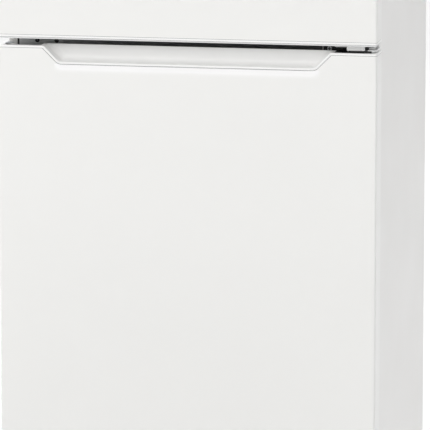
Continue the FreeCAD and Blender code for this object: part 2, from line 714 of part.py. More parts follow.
def compressor_body(inset=0.0):
    """The hermetic can's outline: a tall rounded block."""
    xs = (COMPRESSOR_X - COMPRESSOR_HALF_X + inset, COMPRESSOR_X + COMPRESSOR_HALF_X - inset)
    ys = (COMPRESSOR_Y - COMPRESSOR_HALF_Y + inset, COMPRESSOR_Y + COMPRESSOR_HALF_Y - inset)
    zs = grown(COMPRESSOR_Z, -inset)
    can = rounded(box(xs, ys, zs), 60.0 - inset, Z_AXIS, *[(x, y, None) for x in xs for y in ys])
    can = can.makeFillet(34.0 - inset, [e for e in can.Edges if e.BoundBox.ZMin > zs[1] - 0.01])
    return can.makeFillet(18.0 - inset, [e for e in can.Edges if e.BoundBox.ZMax < zs[0] + 0.01])


def compressor():
    """Two-part welded can with a seam flange and a pressed foot plate."""
    xs = (COMPRESSOR_X - COMPRESSOR_HALF_X - 3, COMPRESSOR_X + COMPRESSOR_HALF_X + 3)
    ys = (COMPRESSOR_Y - COMPRESSOR_HALF_Y - 3, COMPRESSOR_Y + COMPRESSOR_HALF_Y + 3)
    seam = rounded(box(xs, ys, (134.0, 138.0)), 63.0, Z_AXIS, *[(x, y, None) for x in xs for y in ys])
    foot_x = (COMPRESSOR_X - MOUNT_DX - 14, COMPRESSOR_X + MOUNT_DX + 14)
    foot_y = (COMPRESSOR_Y - MOUNT_DY - 12, COMPRESSOR_Y + MOUNT_DY + 12)
    foot_corners = [(x, y, None) for x in foot_x for y in foot_y]
    feet = rounded(box(foot_x, foot_y, (45.0, 48.0)), 10.0, Z_AXIS, *foot_corners)
    holes = [rod((x, y, 40), 12.0, 8.0) for x, y in compressor_mounts()]
    body = fuse(compressor_body(), seam, feet)
    return cut(body, compressor_body(3.5), *holes)


def compressor_grommets():
    """Rubber feet, waisted where they grip the foot plate."""
    made = []
    for x, y in compressor_mounts():
        low = rod((x, y, Z_BASE + 4.0), 45.0 - Z_BASE - 4.0, 12.0)
        waist = rod((x, y, 44.0), 5.0, 8.0)
        high = rod((x, y, 48.0), 5.0, 11.0)
        made.append(cut(fuse(low, waist, high), rod((x, y, 20.0), 40.0, MOUNT_BOLT_R)))
    return Part.makeCompound(made)


def relay_box():
    """Starter cover on the compressor's side, with a bush at the back where the mains lead comes in."""
    body = box((COMPRESSOR_X + 66.0, COMPRESSOR_X + 118.0), (146.0, 218.0), (84.0, 126.0))
    x = COMPRESSOR_X + 118.0
    body = rounded(body, 6.0, Z_AXIS, (x, 146.0, None), (x, 218.0, None))
    bush = rod((COMPRESSOR_X + 100.0, 217.0, 105.0), 11.0, 7.0, Y_AXIS)
    mouth = rod((COMPRESSOR_X + 100.0, 214.0, 105.0), 15.0, 4.0, Y_AXIS)
    return cut(fuse(body, bush), compressor_body(), mouth)


def drip_tray():
    """Evaporation tray on top of the compressor."""
    xs = (COMPRESSOR_X - 74.0, COMPRESSOR_X + 74.0)
    return open_tray(xs, (122.0, 242.0), (COMPRESSOR_Z[1] + 0.5, 233.0), 2.0, 10.0)


def drain_tube():
    """Defrost drain from the freezer's floor down to the tray."""
    return cut(drain_line(), drain_line(5.5))


CONDENSER_Y = 272.0
CONDENSER_R = 2.4
CONDENSER_Z = (322.0, 1302.0)
CONDENSER_PITCH = 49.0
CONDENSER_HALF = 224.0
WIRE_R = 0.75


def condenser_tube():
    """Serpentine steel tube: level runs joined by half-round bends."""
    runs = int((CONDENSER_Z[1] - CONDENSER_Z[0]) / CONDENSER_PITCH) + 1
    points = [(-CONDENSER_HALF, CONDENSER_Y, 236.0)]
    for i in range(runs):
        z = CONDENSER_Z[0] + i * CONDENSER_PITCH
        side = -1 if i % 2 == 0 else 1
        points.append((side * CONDENSER_HALF, CONDENSER_Y, z))
        points.append((-side * CONDENSER_HALF, CONDENSER_Y, z))
    last_x, _, last_z = points[-1]
    points[-1] = (last_x * 0.9, CONDENSER_Y, last_z)
    return tube(points, CONDENSER_R, CONDENSER_PITCH / 2 - 0.05)


def condenser_wires():
    """Upright wires on both sides of the tube."""
    made = []
    length = CONDENSER_Z[1] - CONDENSER_Z[0] + 24.0
    offset = CONDENSER_R + WIRE_R
    for i in range(-13, 14):
        for side in (-1, 1):
            base = (i * 15.0 + side * 3.0, CONDENSER_Y + side * offset, CONDENSER_Z[0] - 12.0)
            made.append(rod(base, length, WIRE_R))
    return Part.makeCompound(made)


def condenser_brackets():
    """Four clips on the rear flange that hold the condenser and keep the wall's distance."""
    made = []
    for s in (-1, 1):
        for z in (420.0, 1204.0):
            xs = tuple(sorted((s * 242.0, s * (CABINET_HALF - 6.0))))
            block = box(xs, (Y_WRAP_REAR, Y_REAR), (z - 14, z + 14))
            block = rounded(block, 5.0, Z_AXIS, *[(x, Y_REAR, None) for x in xs])
            under_tube = (265.0, CONDENSER_Y - CONDENSER_R - 0.05)
            arm = box(tuple(sorted((s * 199.0, s * 243.0))), under_tube, (z - 6, z + 6))
            made.append(fuse(block, arm))
    return Part.makeCompound(made)


def refrigerant_pipes():
    """Discharge line, suction line, liquid line, filter drier, capillary and charging stub."""
    left = COMPRESSOR_X - COMPRESSOR_HALF_X + 3.0
    drier_x, drier_y = 205.0, 232.0
    discharge = [
        (left, 176, 106), (-130, 176, 106), (-130, 246, 106), (-CONDENSER_HALF, 246, 106),
        (-CONDENSER_HALF, 246, 222), (-CONDENSER_HALF, CONDENSER_Y, 222),
        (-CONDENSER_HALF, CONDENSER_Y, 236),
    ]
    suction = [(left, 190, 160), (-96, 190, 160), (-96, 232, 160), (-96, 232, Z_CEILING)]
    stub = [(left, 162, 92), (-62, 162, 92), (-62, 140, 92)]
    liquid = [
        (238, drier_y, Z_CEILING), (238, drier_y, 66), (drier_x, drier_y, 66), (drier_x, drier_y, 88),
    ]
    drier = rod((drier_x, drier_y, 88.0), 110.0, 9.0)
    drier = drier.makeFillet(5.0, [e for e in drier.Edges if e.BoundBox.ZLength < 0.01])
    capillary = rod((drier_x, drier_y, 198.0), Z_CEILING - 198.0, 1.2)
    made = [tube(liquid, 2.4, 14.0), drier, capillary]
    for path, radius in ((discharge, 2.4), (suction, 3.2), (stub, 3.2)):
        made.append(cut(tube(path, radius, 10.0), compressor_body()))
    return Part.makeCompound(made)


# ---------------------------------------------------------------- freezer air system
def evaporator():
    """Finned coil: a two-column serpentine through a pack of thin fins."""
    pitch = 26.0
    rows = [1066.0 + pitch * i for i in range(5)]
    reach = 190.0
    front, rear = 150.0, 176.0
    points = [(-reach, front, rows[0])]
    side = 1
    for z in rows:
        points.append((side * reach, front, z))
        side = -side
        if z != rows[-1]:
            points.append((-side * reach, front, z + pitch))
    points.append((-side * reach, rear, rows[-1]))
    for z in reversed(rows):
        points.append((side * reach, rear, z))
        side = -side
        if z != rows[0]:
            points.append((-side * reach, rear, z - pitch))
    coil = tube(points, 4.0, pitch / 2 - 0.1)
    fins = [
        box((x - 0.4, x + 0.4), (137.0, 189.0), (1053.0, 1183.0))
        for x in [-168.0 + 16.0 * i for i in range(22)]
    ]
    return fuse(coil, *fins)


def evaporator_cover():
    """Freezer back wall: outlet and return slots, fan grille with a shroud, slider slot."""
    half = FREEZER_HALF - 1.0
    zs = grown(FREEZER_Z, -1.0)
    plate = box(both(half), (COVER_Y, COVER_Y + 2.5), zs)
    plate = rounded(plate, 14.0, Y_AXIS, *[(x, None, z) for x in both(half) for z in zs])
    shroud = cut(
        rod((0, COVER_Y + 1, FAN_Z), 32.0, 54.0, Y_AXIS),
        rod((0, COVER_Y, FAN_Z), 40.0, 51.0, Y_AXIS),
    )
    slots = []
    for x in (-160.0, -80.0, 0.0, 80.0, 160.0):
        slots.append(box((x - 30, x + 30), (100, 130), (1336.0, 1342.0)))
        slots.append(box((x - 30, x + 30), (100, 130), (1044.0, 1050.0)))
    for i in range(12):
        spoke = box((14.0, 46.0), (100, 130), (FAN_Z - 2.5, FAN_Z + 2.5))
        slots.append(spoke.rotate(Vector(0, 0, FAN_Z), Y_AXIS, 30.0 * i))
    slots.append(box((100.0, 140.0), (100, 130), (1299.5, 1306.5)))
    return cut(fuse(plate, shroud), *slots)


def fan_motor():
    """Fan motor on a bar across the chamber, with its shaft."""
    body = rod((0, 154.0, FAN_Z), 32.0, 24.0, Y_AXIS)
    shaft = rod((0, 130.0, FAN_Z), 25.0, FAN_SHAFT_R, Y_AXIS)
    bar = box(both(62.0), (185.0, 189.0), (FAN_Z - 10, FAN_Z + 10))
    leg_span = ((188.0, Y_LINER_BACK), (FAN_Z - 10, FAN_Z + 10))
    legs = [box((s * 56.0 - 6, s * 56.0 + 6), *leg_span) for s in (-1, 1)]
    return fuse(body, shaft, bar, *legs)


def fan_blade():
    """Five-bladed axial impeller on a hub."""
    hub = rod((0, FAN_Y - 11, FAN_Z), 24.0, 13.0, Y_AXIS)
    blades = []
    for i in range(5):
        blade = box((10.0, 46.0), (FAN_Y - 1.0, FAN_Y + 1.0), (FAN_Z - 13, FAN_Z + 13))
        blade.rotate(Vector(0, FAN_Y, FAN_Z), X_AXIS, 55.0)
        blade.rotate(Vector(0, FAN_Y, FAN_Z), Y_AXIS, 72.0 * i)
        blades.append(blade)
    return cut(fuse(hub, *blades), rod((0, 100.0, FAN_Z), 80.0, FAN_SHAFT_R + RUNNING_FIT, Y_AXIS))


def freezer_slider():
    """Air flap control: a thumb piece with a stem through the cover's slot."""
    xs, zs = (112.0, 128.0), (1295.0, 1311.0)
    thumb = box(xs, (108.0, 116.5), zs)
    thumb = rounded(thumb, 3.0, Y_AXIS, *[(x, None, z) for x in xs for z in zs])
    stem = box((117.0, 123.0), (116.0, 126.0), (1300.0, 1306.0))
    return fuse(thumb, stem)


def freezer_shelf():
    """Slotted freezer shelf on its pair of runners."""
    ys = (-150.0, 106.0)
    plate = box(both(210.0), ys, (FREEZER_SHELF_Z, FREEZER_SHELF_Z + 4.0))
    slots = []
    for i in range(-9, 10):
        x = i * 21.0
        slots.append(box((x - 8, x + 8), grown(ys, -14.0), (FREEZER_SHELF_Z - 1, FREEZER_SHELF_Z + 5)))
    return cut(plate, *slots)


# ---------------------------------------------------------------- fridge compartment
def air_duct_panel():
    """Cold air duct down the fridge's back wall, with an outlet above each shelf."""
    xs, ys, zs = both(75.0), (184.0, Y_LINER_BACK), (300.0, FRIDGE_Z[1])
    shell = rounded(box(xs, ys, zs), 5.0, Z_AXIS, (-75.0, 184.0, None), (75.0, 184.0, None))
    inner = box(both(72.5), (186.5, Y_LINER_BACK + 1), (302.5, FRIDGE_Z[1] + 1))
    slots = []
    for z in SHELF_LEVELS + (CRISPER_COVER_Z + 40.0,):
        for dz in (100.0, 112.0):
            slots.append(box(both(52.0), (180.0, 190.0), (z + dz, z + dz + 6.0)))
    return cut(shell, inner, *slots)


CONSOLE_X = 195.0
CONSOLE_Y = (-200.0, -60.0)
CONSOLE_Z = (944.0, 970.0)
KNOB_X = 112.0
KNOB_Y = -150.0
PLUNGER_X = -165.0
PLUNGER_Z = 957.0
KNOB_SHAFT_R = 3.0
PLUNGER_R = 4.0


def control_console():
    """Ceiling housing for the lamp, the thermostat and the door switch, open at the top."""
    xs = both(CONSOLE_X)
    corners = [(x, y, None) for x in xs for y in CONSOLE_Y]
    shell = rounded(box(xs, CONSOLE_Y, CONSOLE_Z), 14.0, Z_AXIS, *corners)
    inner = box(grown(xs, -2.5), grown(CONSOLE_Y, -2.5), (CONSOLE_Z[0] + 2.5, CONSOLE_Z[1] + 1))
    inner = rounded(
        inner, 11.5, Z_AXIS, *[(x, y, None) for x in grown(xs, -2.5) for y in grown(CONSOLE_Y, -2.5)]
    )
    shaft = rod((KNOB_X, KNOB_Y, 930.0), 30.0, KNOB_SHAFT_R + BUSH_CLEARANCE)
    switch = rod((PLUNGER_X, -210.0, PLUNGER_Z), 20.0, PLUNGER_R + BUSH_CLEARANCE, Y_AXIS)
    return cut(shell, inner, shaft, switch)


def lamp_lens():
    """Ribbed lens under the console."""
    xs, ys, zs = (-62.0, 62.0), (-118.0, -72.0), (936.0, CONSOLE_Z[0])
    lens = rounded(box(xs, ys, zs), 6.0, Z_AXIS, *[(x, y, None) for x in xs for y in ys])
    lens = lens.makeFillet(2.5, [e for e in lens.Edges if e.BoundBox.ZMax < zs[0] + 0.01])
    inner = box(grown(xs, -2.0), grown(ys, -2.0), (zs[0] + 2.0, zs[1] + 1))
    return cut(lens, inner)


def thermostat_knob():
    """Finger knob under the console, with a grip bar and a shaft."""
    disc = rod((KNOB_X, KNOB_Y, 938.0), 5.5, 19.0)
    grip = box((KNOB_X - 3, KNOB_X + 3), (KNOB_Y - 17, KNOB_Y + 17), (929.0, 939.0))
    return fuse(disc, grip, rod((KNOB_X, KNOB_Y, 940.0), 18.0, KNOB_SHAFT_R))


def switch_plunger():
    """Door switch plunger, held in by the closed door."""
    tip = rod((PLUNGER_X, RING_CREST_Y + 0.6, PLUNGER_Z), 19.0, PLUNGER_R, Y_AXIS)
    tip = tip.makeFillet(1.5, [e for e in tip.Edges if e.BoundBox.YMax < RING_CREST_Y + 0.7])
    return fuse(tip, rod((PLUNGER_X, -193.0, PLUNGER_Z), 3.0, 6.5, Y_AXIS))


def shelf_glass(z):
    return box(both(221.0), SHELF_Y, (z, z + GLASS))


def shelf_trims():
    """Front and back edge strips of the four glass plates."""
    made = []
    for z in (CRISPER_COVER_Z,) + SHELF_LEVELS:
        face = SHELF_Y[0] - 8
        front = box(both(222.0), (face, SHELF_Y[0] + 8), (z - 4, z + GLASS + 4))
        front = rounded(front, 4.0, X_AXIS, (None, face, z - 4), (None, face, z + GLASS + 4))
        rear = box(both(214.0), (SHELF_Y[1] - 8, SHELF_Y[1] + 3), (z - 1.5, z + GLASS + 6))
        made += [cut(front, shelf_glass(z)), cut(rear, shelf_glass(z))]
    return Part.makeCompound(made)


CRISPER_Y = (-112.0, 56.0)


def crisper_drawer():
    """Salad drawer with a finger lip across its front."""
    tray = open_tray(both(214.0), CRISPER_Y, (76.0, 274.0), 2.5, 12.0)
    lip_y = CRISPER_Y[0] - 12.0
    lip = box(both(96.0), (lip_y, CRISPER_Y[0] + 1.0), (262.0, 266.0))
    lip = rounded(lip, 8.0, Z_AXIS, (-96.0, lip_y, None), (96.0, lip_y, None))
    return fuse(tray, lip)


# ---------------------------------------------------------------- running gear
def foot(side):
    """Levelling foot: a wide pad on a stud that screws into the pan."""
    pad = rod((side * FOOT_X, FOOT_Y, 0), 8.0, 20.0)
    pad = pad.makeFillet(2.5, [e for e in pad.Edges if e.BoundBox.ZMin > 7.9])
    return fuse(pad, rod((side * FOOT_X, FOOT_Y, 7.0), 33.0, STUD_R))


def roller(side):
    """Rear roller on its axle."""
    x = side * ROLLER_X
    wheel = rod((x - 8.0, ROLLER_Y, ROLLER_R), 16.0, ROLLER_R, X_AXIS)
    wheel = wheel.makeChamfer(1.2, [e for e in wheel.Edges if e.BoundBox.XLength < 0.01])
    return cut(wheel, rod((x - 20.0, ROLLER_Y, ROLLER_R), 40.0, AXLE_R + RUNNING_FIT, X_AXIS))


# ---------------------------------------------------------------- all the nodes
def freezer_fixtures():
    low, high = FREEZER_DOOR
    return [groove_housing(), hinge_boss(low, 1), hinge_boss(high, -1)]


def fridge_fixtures():
    low, high = FRIDGE_DOOR
    return [grip_shell(), grip_flange(), hinge_boss(low, 1), hinge_boss(high, -1)]


def build():
    """Every node's shape, by name."""
    freezer_lugs = [z for z, _ in FREEZER_BINS]
    fridge_lugs = [z for z, _ in FRIDGE_BINS]
    made = {
        "outer_wrap": outer_wrap(),
        "back_panel": back_panel(),
        "base_pan": base_pan(),
        "cabinet_foam": cabinet_foam(),
        "fridge_liner": fridge_liner(),
        "freezer_liner": freezer_liner(),
        "mid_rail": mid_rail(),
        "top_hinge_bracket": top_hinge_bracket(),
        "top_hinge_cover": top_hinge_cover(),
        "mid_hinge_bracket": mid_hinge_bracket(),
        "bottom_hinge_bracket": bottom_hinge_bracket(),
        "screws_and_pins": screws_and_pins(),
        "compressor_plate": compressor_plate(),
        "compressor": compressor(),
        "compressor_grommets": compressor_grommets(),
        "relay_box": relay_box(),
        "drip_tray": drip_tray(),
        "drain_tube": drain_tube(),
        "condenser_tube": condenser_tube(),
        "condenser_wires": condenser_wires(),
        "condenser_brackets": condenser_brackets(),
        "refrigerant_pipes": refrigerant_pipes(),
        "evaporator": evaporator(),
        "evaporator_cover": evaporator_cover(),
        "fan_motor": fan_motor(),
        "fan_blade": fan_blade(),
        "freezer_slider": freezer_slider(),
        "freezer_shelf": freezer_shelf(),
        "air_duct_panel": air_duct_panel(),
        "control_console": control_console(),
        "lamp_lens": lamp_lens(),
        "thermostat_knob": thermostat_knob(),
        "switch_plunger": switch_plunger(),
        "crisper_cover_glass": shelf_glass(CRISPER_COVER_Z),
        "shelf_trims": shelf_trims(),
        "crisper_drawer": crisper_drawer(),
        "foot_left": foot(-1),
        "foot_right": foot(1),
        "roller_left": roller(-1),
        "roller_right": roller(1),
        "freezer_door_skin": door_skin(FREEZER_DOOR),
        "freezer_door_top_cap": freezer_door_top_cap(),
        "freezer_door_bottom_cap": freezer_door_bottom_cap(),
        "freezer_door_foam": door_foam(FREEZER_RING, FREEZER_Z, FREEZER_DOOR, *freezer_fixtures()),
        "freezer_door_liner": door_liner(FREEZER_RING, FREEZER_Z, FREEZER_DOOR, freezer_lugs),
        "freezer_door_gasket": gasket(FREEZER_DOOR),
        "fridge_door_skin": door_skin(FRIDGE_DOOR, grip_prism(FRIDGE_DOOR[1], SEAM, GRIP_DEPTH)),
        "fridge_door_top_cap": fridge_door_top_cap(),
        "fridge_door_bottom_cap": fridge_door_bottom_cap(),
        "fridge_door_foam": door_foam(FRIDGE_RING, FRIDGE_Z, FRIDGE_DOOR, *fridge_fixtures()),
        "fridge_door_liner": door_liner(FRIDGE_RING, FRIDGE_Z, FRIDGE_DOOR, fridge_lugs),
        "fridge_door_gasket": gasket(FRIDGE_DOOR),
    }
    for i, z in enumerate(SHELF_LEVELS, 1):
        made[f"shelf_glass_{i}"] = shelf_glass(z)
    for i, (z, height) in enumerate(FRIDGE_BINS, 1):
        made[f"fridge_bin_{i}"] = door_bin(FRIDGE_RING, -142.0, z, height)
    for i, (z, height) in enumerate(FREEZER_BINS, 1):
        made[f"freezer_bin_{i}"] = door_bin(FREEZER_RING, -168.0, z, height)
    return made


def main():
    os.makedirs("parts", exist_ok=True)
    for name, shape in build().items():
        solids = shape.Solids
        if not solids or not all(s.isValid() and s.Volume > 0 for s in solids):
            raise ValueError(f"{name} is not made of valid solids")
        shape.exportStep(f"parts/{name}.step")
        print(f"{name}: {len(solids)} solids, {shape.Volume / 1000:.1f} cm3")


main()
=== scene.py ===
import math
import random

import bmesh
import bpy
from mathutils import Matrix, Vector


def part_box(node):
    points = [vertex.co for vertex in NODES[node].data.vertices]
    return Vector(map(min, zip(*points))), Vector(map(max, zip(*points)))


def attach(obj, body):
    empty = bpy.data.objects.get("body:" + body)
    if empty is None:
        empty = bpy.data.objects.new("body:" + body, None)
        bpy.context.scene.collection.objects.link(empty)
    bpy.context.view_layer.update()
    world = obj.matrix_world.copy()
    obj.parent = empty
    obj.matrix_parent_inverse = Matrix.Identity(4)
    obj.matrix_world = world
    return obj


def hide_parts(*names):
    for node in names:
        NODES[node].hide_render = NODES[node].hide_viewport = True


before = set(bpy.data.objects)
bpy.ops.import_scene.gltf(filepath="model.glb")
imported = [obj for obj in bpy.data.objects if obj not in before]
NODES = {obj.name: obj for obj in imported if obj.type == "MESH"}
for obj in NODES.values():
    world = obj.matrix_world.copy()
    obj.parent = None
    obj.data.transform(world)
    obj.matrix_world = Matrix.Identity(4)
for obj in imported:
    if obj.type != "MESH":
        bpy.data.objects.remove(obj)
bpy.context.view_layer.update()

MM = 0.001
CABINET = "cabinet"
FREEZER_DOOR = "freezer_door"
FRIDGE_DOOR = "fridge_door"

# where the door sheet rolls back toward the grip pocket's lip, in millimetres, and how steeply; the door
# steel's painted highlight lies on the same band
LIP_Z = 970
ROLL_TALL = 13
ROLL_POWER = 1.8


# ---- colours and node trees
def srgb(red, green, blue):
    """A screen colour from 0 to 255 as the linear colour that shaders take."""
    def linear(c):
        c /= 255
        return c / 12.92 if c <= 0.04045 else ((c + 0.055) / 1.055) ** 2.4
    return (linear(red), linear(green), linear(blue), 1.0)


def scaled(colour, factor):
    return tuple(min(1.0, c * factor) for c in colour[:3]) + (1.0,)


class Finish:
    """Builds one procedural material around a Principled shader, in the object's own coordinates."""

    def __init__(self, name, metallic=0.0, **sockets):
        self.material = bpy.data.materials.new(name)
        self.material.use_nodes = True
        self.tree = self.material.node_tree
        self.shader = self.tree.nodes["Principled BSDF"]
        self.shader.inputs["Metallic"].default_value = metallic
        for socket, value in sockets.items():
            self.shader.inputs[socket.replace("_", " ")].default_value = value
        self.coords = self.node("ShaderNodeTexCoord").outputs["Object"]
        self.normal = None

    def node(self, kind, inputs=(), **settings):
        """A node whose inputs, named or numbered, each take a value or another node's output."""
        made = self.tree.nodes.new(kind)
        for key, value in settings.items():
            setattr(made, key, value)
        for socket, value in dict(inputs).items():
            if isinstance(value, bpy.types.NodeSocket):
                self.tree.links.new(value, made.inputs[socket])
            else:
                made.inputs[socket].default_value = value
        return made

    def noise(self, per_metre, detail=3.0, stretch=(1, 1, 1)):
        """Noise whose features are about 1 / per_metre across, longer where stretch is small."""
        mapped = self.node("ShaderNodeMapping", {"Vector": self.coords, "Scale": stretch}).outputs[0]
        inputs = {"Vector": mapped, "Scale": per_metre, "Detail": detail, "Roughness": 0.5}
        return self.node("ShaderNodeTexNoise", inputs).outputs["Fac"]

    def cells(self, per_metre, output="Distance"):
        made = self.node("ShaderNodeTexVoronoi", {"Vector": self.coords, "Scale": per_metre})
        return made.outputs[output]

    def along(self, axis):
        return self.node("ShaderNodeSeparateXYZ", {"Vector": self.coords}).outputs[axis]

    def stripes(self, axis, per_metre):
        """A smooth wave along one axis, with per_metre crests in a metre."""
        turns = self.maths("MULTIPLY", self.along(axis), per_metre * 2 * math.pi)
        return self.span(self.maths("SINE", turns), -1, 1, 0, 1)

    def maths(self, operation, a, b=0.0):
        return self.node("ShaderNodeMath", {0: a, 1: b}, operation=operation).outputs[0]

    def span(self, value, low, high, to_low, to_high):
        inputs = {"Value": value, "From Min": low, "From Max": high, "To Min": to_low, "To Max": to_high}
        return self.node("ShaderNodeMapRange", inputs).outputs[0]

    def mix(self, factor, first, second):
        """One colour that turns into another; the numbers are the colour mix's own sockets."""
        inputs = {0: factor, 6: first, 7: second}
        return self.node("ShaderNodeMix", inputs, data_type="RGBA").outputs[2]

    def colour(self, value):
        self.tree.links.new(value, self.shader.inputs["Base Color"])

    def blend(self, pattern, first, second):
        """Colour that wanders between two tones."""
        self.colour(self.mix(pattern, first, second))

    def roughness(self, per_metre, detail, low, high):
        """Roughness that follows a noise."""
        worn = self.span(self.noise(per_metre, detail), 0.3, 0.7, low, high)
        self.tree.links.new(worn, self.shader.inputs["Roughness"])

    def bump(self, height, distance, strength):
        """Adds one relief of the given depth in metres on top of any before it."""
        inputs = {"Height": height, "Distance": distance, "Strength": strength}
        if self.normal is not None:
            inputs["Normal"] = self.normal
        self.normal = self.node("ShaderNodeBump", inputs).outputs[0]
        self.tree.links.new(self.normal, self.shader.inputs["Normal"])

    def dusted(self, base, dust, amount):
        """Base colour with dust lying on what faces up."""
        normal = self.node("ShaderNodeNewGeometry").outputs["Normal"]
        up = self.node("ShaderNodeSeparateXYZ", {"Vector": normal}).outputs["Z"]
        lying = self.span(up, 0.2, 0.95, 0.0, amount)
        patchy = self.span(self.noise(60.0, 5.0), 0.35, 0.65, 0.35, 1.0)
        return self.mix(self.maths("MULTIPLY", lying, patchy), base, dust)


# ---- materials
def roll_highlight_mask(f):
    """Where the door sheet's edge rolls back under the grip pocket, from 0 to 1: the mask of the painted
    highlight on the door steel.
    """
    full, none = 0.178, 0.190
    rise = f.span(f.along("Z"), (LIP_Z - ROLL_TALL) * MM, LIP_Z * MM, 0.0, 1.0)
    inside = f.span(f.maths("ABSOLUTE", f.along("X")), full, none, 1.0, 0.0)
    below_lip = f.maths("LESS_THAN", f.along("Z"), (LIP_Z + 1) * MM)
    return f.maths("MULTIPLY", f.maths("MULTIPLY", f.maths("POWER", rise, ROLL_POWER), inside), below_lip)


def painted_steel(name, tone, gloss):
    """Pre-coated sheet: faint orange peel, slow rolling waves and a little grime; on the door, a painted
    highlight along the rolled edge under the grip pocket.
    """
    f = Finish(name, IOR=1.5, Coat_Weight=0.25, Coat_Roughness=0.12)
    cloud = f.span(f.noise(2.2, 4.0), 0.3, 0.7, 0, 1)
    paint = f.mix(cloud, scaled(tone, 0.975), tone)
    # on the door the paint turns pure white along the rolled edge under the grip pocket: a painted
    # highlight, added to the light that the rolled sheet itself catches
    if name == "door_steel":
        painted_highlight = f.maths("MINIMUM", f.maths("MULTIPLY", roll_highlight_mask(f), 4.0), 1.0)
        paint = f.mix(painted_highlight, paint, (1.0, 1.0, 1.0, 1.0))
    f.colour(paint)
    f.roughness(14.0, 5.0, gloss, gloss + 0.10)
    f.bump(f.noise(420.0, 2.0), 0.00003, 0.30)
    f.bump(f.noise(9.0, 1.0), 0.0004, 0.10)
    return f.material


def moulded_plastic(name, tone, rough=0.35, grain=1400.0, depth=0.00003, variation=0.96):
    """Injection moulded plastic with a fine eroded grain."""
    f = Finish(name, IOR=1.49)
    f.blend(f.noise(18.0, 4.0), scaled(tone, variation), tone)
    f.roughness(60.0, 4.0, rough, rough + 0.12)
    f.bump(f.noise(grain, 2.0), depth, 0.5)
    return f.material


def liner_sheet():
    """Thermoformed inner wall: glossy, with the slight waves that drawing leaves."""
    f = Finish("liner_sheet", IOR=1.52, Coat_Weight=0.15, Coat_Roughness=0.2)
    f.blend(f.noise(5.0, 3.0), srgb(236, 240, 240), srgb(244, 247, 247))
    f.roughness(30.0, 4.0, 0.34, 0.38)
    f.bump(f.noise(7.0, 1.0), 0.0008, 0.10)
    f.bump(f.noise(900.0, 1.0), 0.00002, 0.3)
    return f.material


def galvanised_sheet():
    """Zinc-coated sheet with spangle and dull patches."""
    f = Finish("galvanised_sheet", metallic=0.92)
    spangle = f.cells(95.0, "Color")
    grey = f.node("ShaderNodeRGBToBW", {"Color": spangle}).outputs[0]
    tone = f.mix(f.span(grey, 0.1, 0.9, 0.0, 1.0), srgb(150, 153, 157), srgb(192, 194, 196))
    f.blend(f.span(f.noise(7.0, 5.0), 0.45, 0.75, 0.0, 0.5), tone, srgb(168, 166, 160))
    f.roughness(55.0, 4.0, 0.36, 0.58)
    f.bump(grey, 0.00008, 0.15)
    return f.material


def grey_painted_rail():
    f = Finish("rail_paint_with_painted_shade", IOR=1.5)
    # dark grey that stands in for the deep shade in the gap between the doors: painted shade
    base = f.mix(f.noise(24.0, 4.0), srgb(66, 67, 68), srgb(84, 85, 86))
    # paler toward the left end: a painted fall-off of the light that comes in at that end of the gap
    f.blend(f.span(f.along("X"), -0.19, -0.09, 0.8, 0.0), base, srgb(150, 151, 152))
    f.roughness(40.0, 4.0, 0.34, 0.5)
    f.bump(f.noise(700.0, 2.0), 0.00003, 0.4)
    return f.material


def end_cover_plastic():
    """Grey moulding, lighter at its left end and darker toward the middle: a painted fall-off of the light
    that comes in at the left end of the gap.
    """
    f = Finish("end_cover_plastic", IOR=1.49)
    across = f.maths("ADD", f.along("X"), f.maths("MULTIPLY", f.noise(60.0, 4.0), 0.012))
    # painted light and shade: lighter at the left end, where light enters the gap, darker toward the middle
    f.blend(f.span(across, -0.243, -0.184, 0.0, 1.0), srgb(224, 225, 226), srgb(150, 151, 152))
    f.roughness(60.0, 4.0, 0.38, 0.5)
    f.bump(f.noise(900.0, 2.0), 0.00004, 0.5)
    return f.material


def zinc_steel():
    """Plated steel: fine rolling lines, with duller blooms."""
    f = Finish("zinc_steel", metallic=0.85)
    tone = srgb(224, 226, 228)
    f.blend(f.noise(90.0, 5.0), scaled(tone, 0.82), tone)
    f.roughness(130.0, 4.0, 0.28, 0.48)
    f.bump(f.noise(500.0, 2.0, stretch=(0.1, 1, 1)), 0.00004, 0.4)
    return f.material


def hinge_paint():
    """Pale baked enamel on the hinge plates, thin enough to show the rolled steel under it."""
    f = Finish("hinge_enamel", IOR=1.5, Coat_Weight=0.2, Coat_Roughness=0.25)
    f.blend(f.noise(70.0, 5.0), srgb(236, 237, 237), srgb(248, 248, 247))
    f.roughness(110.0, 4.0, 0.3, 0.46)
    f.bump(f.noise(600.0, 2.0, stretch=(0.2, 1, 1)), 0.00005, 0.5)
    return f.material


def black_stove_paint(name, rough):
    """Black paint over steel: orange peel, and dust on what faces up."""
    f = Finish(name, IOR=1.5, Coat_Weight=0.1, Coat_Roughness=0.3)
    base = f.mix(f.noise(40.0, 4.0), srgb(14, 14, 15), srgb(30, 30, 31))
    f.colour(f.dusted(base, srgb(120, 115, 106), 0.35))
    f.roughness(80.0, 4.0, rough, rough + 0.2)
    f.bump(f.noise(380.0, 3.0), 0.00012, 0.5)
    return f.material


def rigid_foam():
    f = Finish("rigid_foam", IOR=1.4)
    f.blend(f.noise(30.0, 5.0), srgb(214, 190, 126), srgb(232, 214, 160))
    f.roughness(100.0, 3.0, 0.8, 0.95)
    f.bump(f.cells(700.0), 0.0006, 0.8)
    return f.material


def clear_plastic(name, tone, rough, alpha, frost=0.0):
    """Clear moulding with flow lines and fine scuffs."""
    f = Finish(name, IOR=1.5, Alpha=alpha)
    f.blend(f.noise(12.0, 2.0), scaled(tone, 0.98), tone)
    f.roughness(160.0, 5.0, rough, rough + 0.08 + frost)
    f.bump(f.noise(40.0, 2.0, stretch=(0.4, 1, 1)), 0.0004, 0.12)
    return f.material


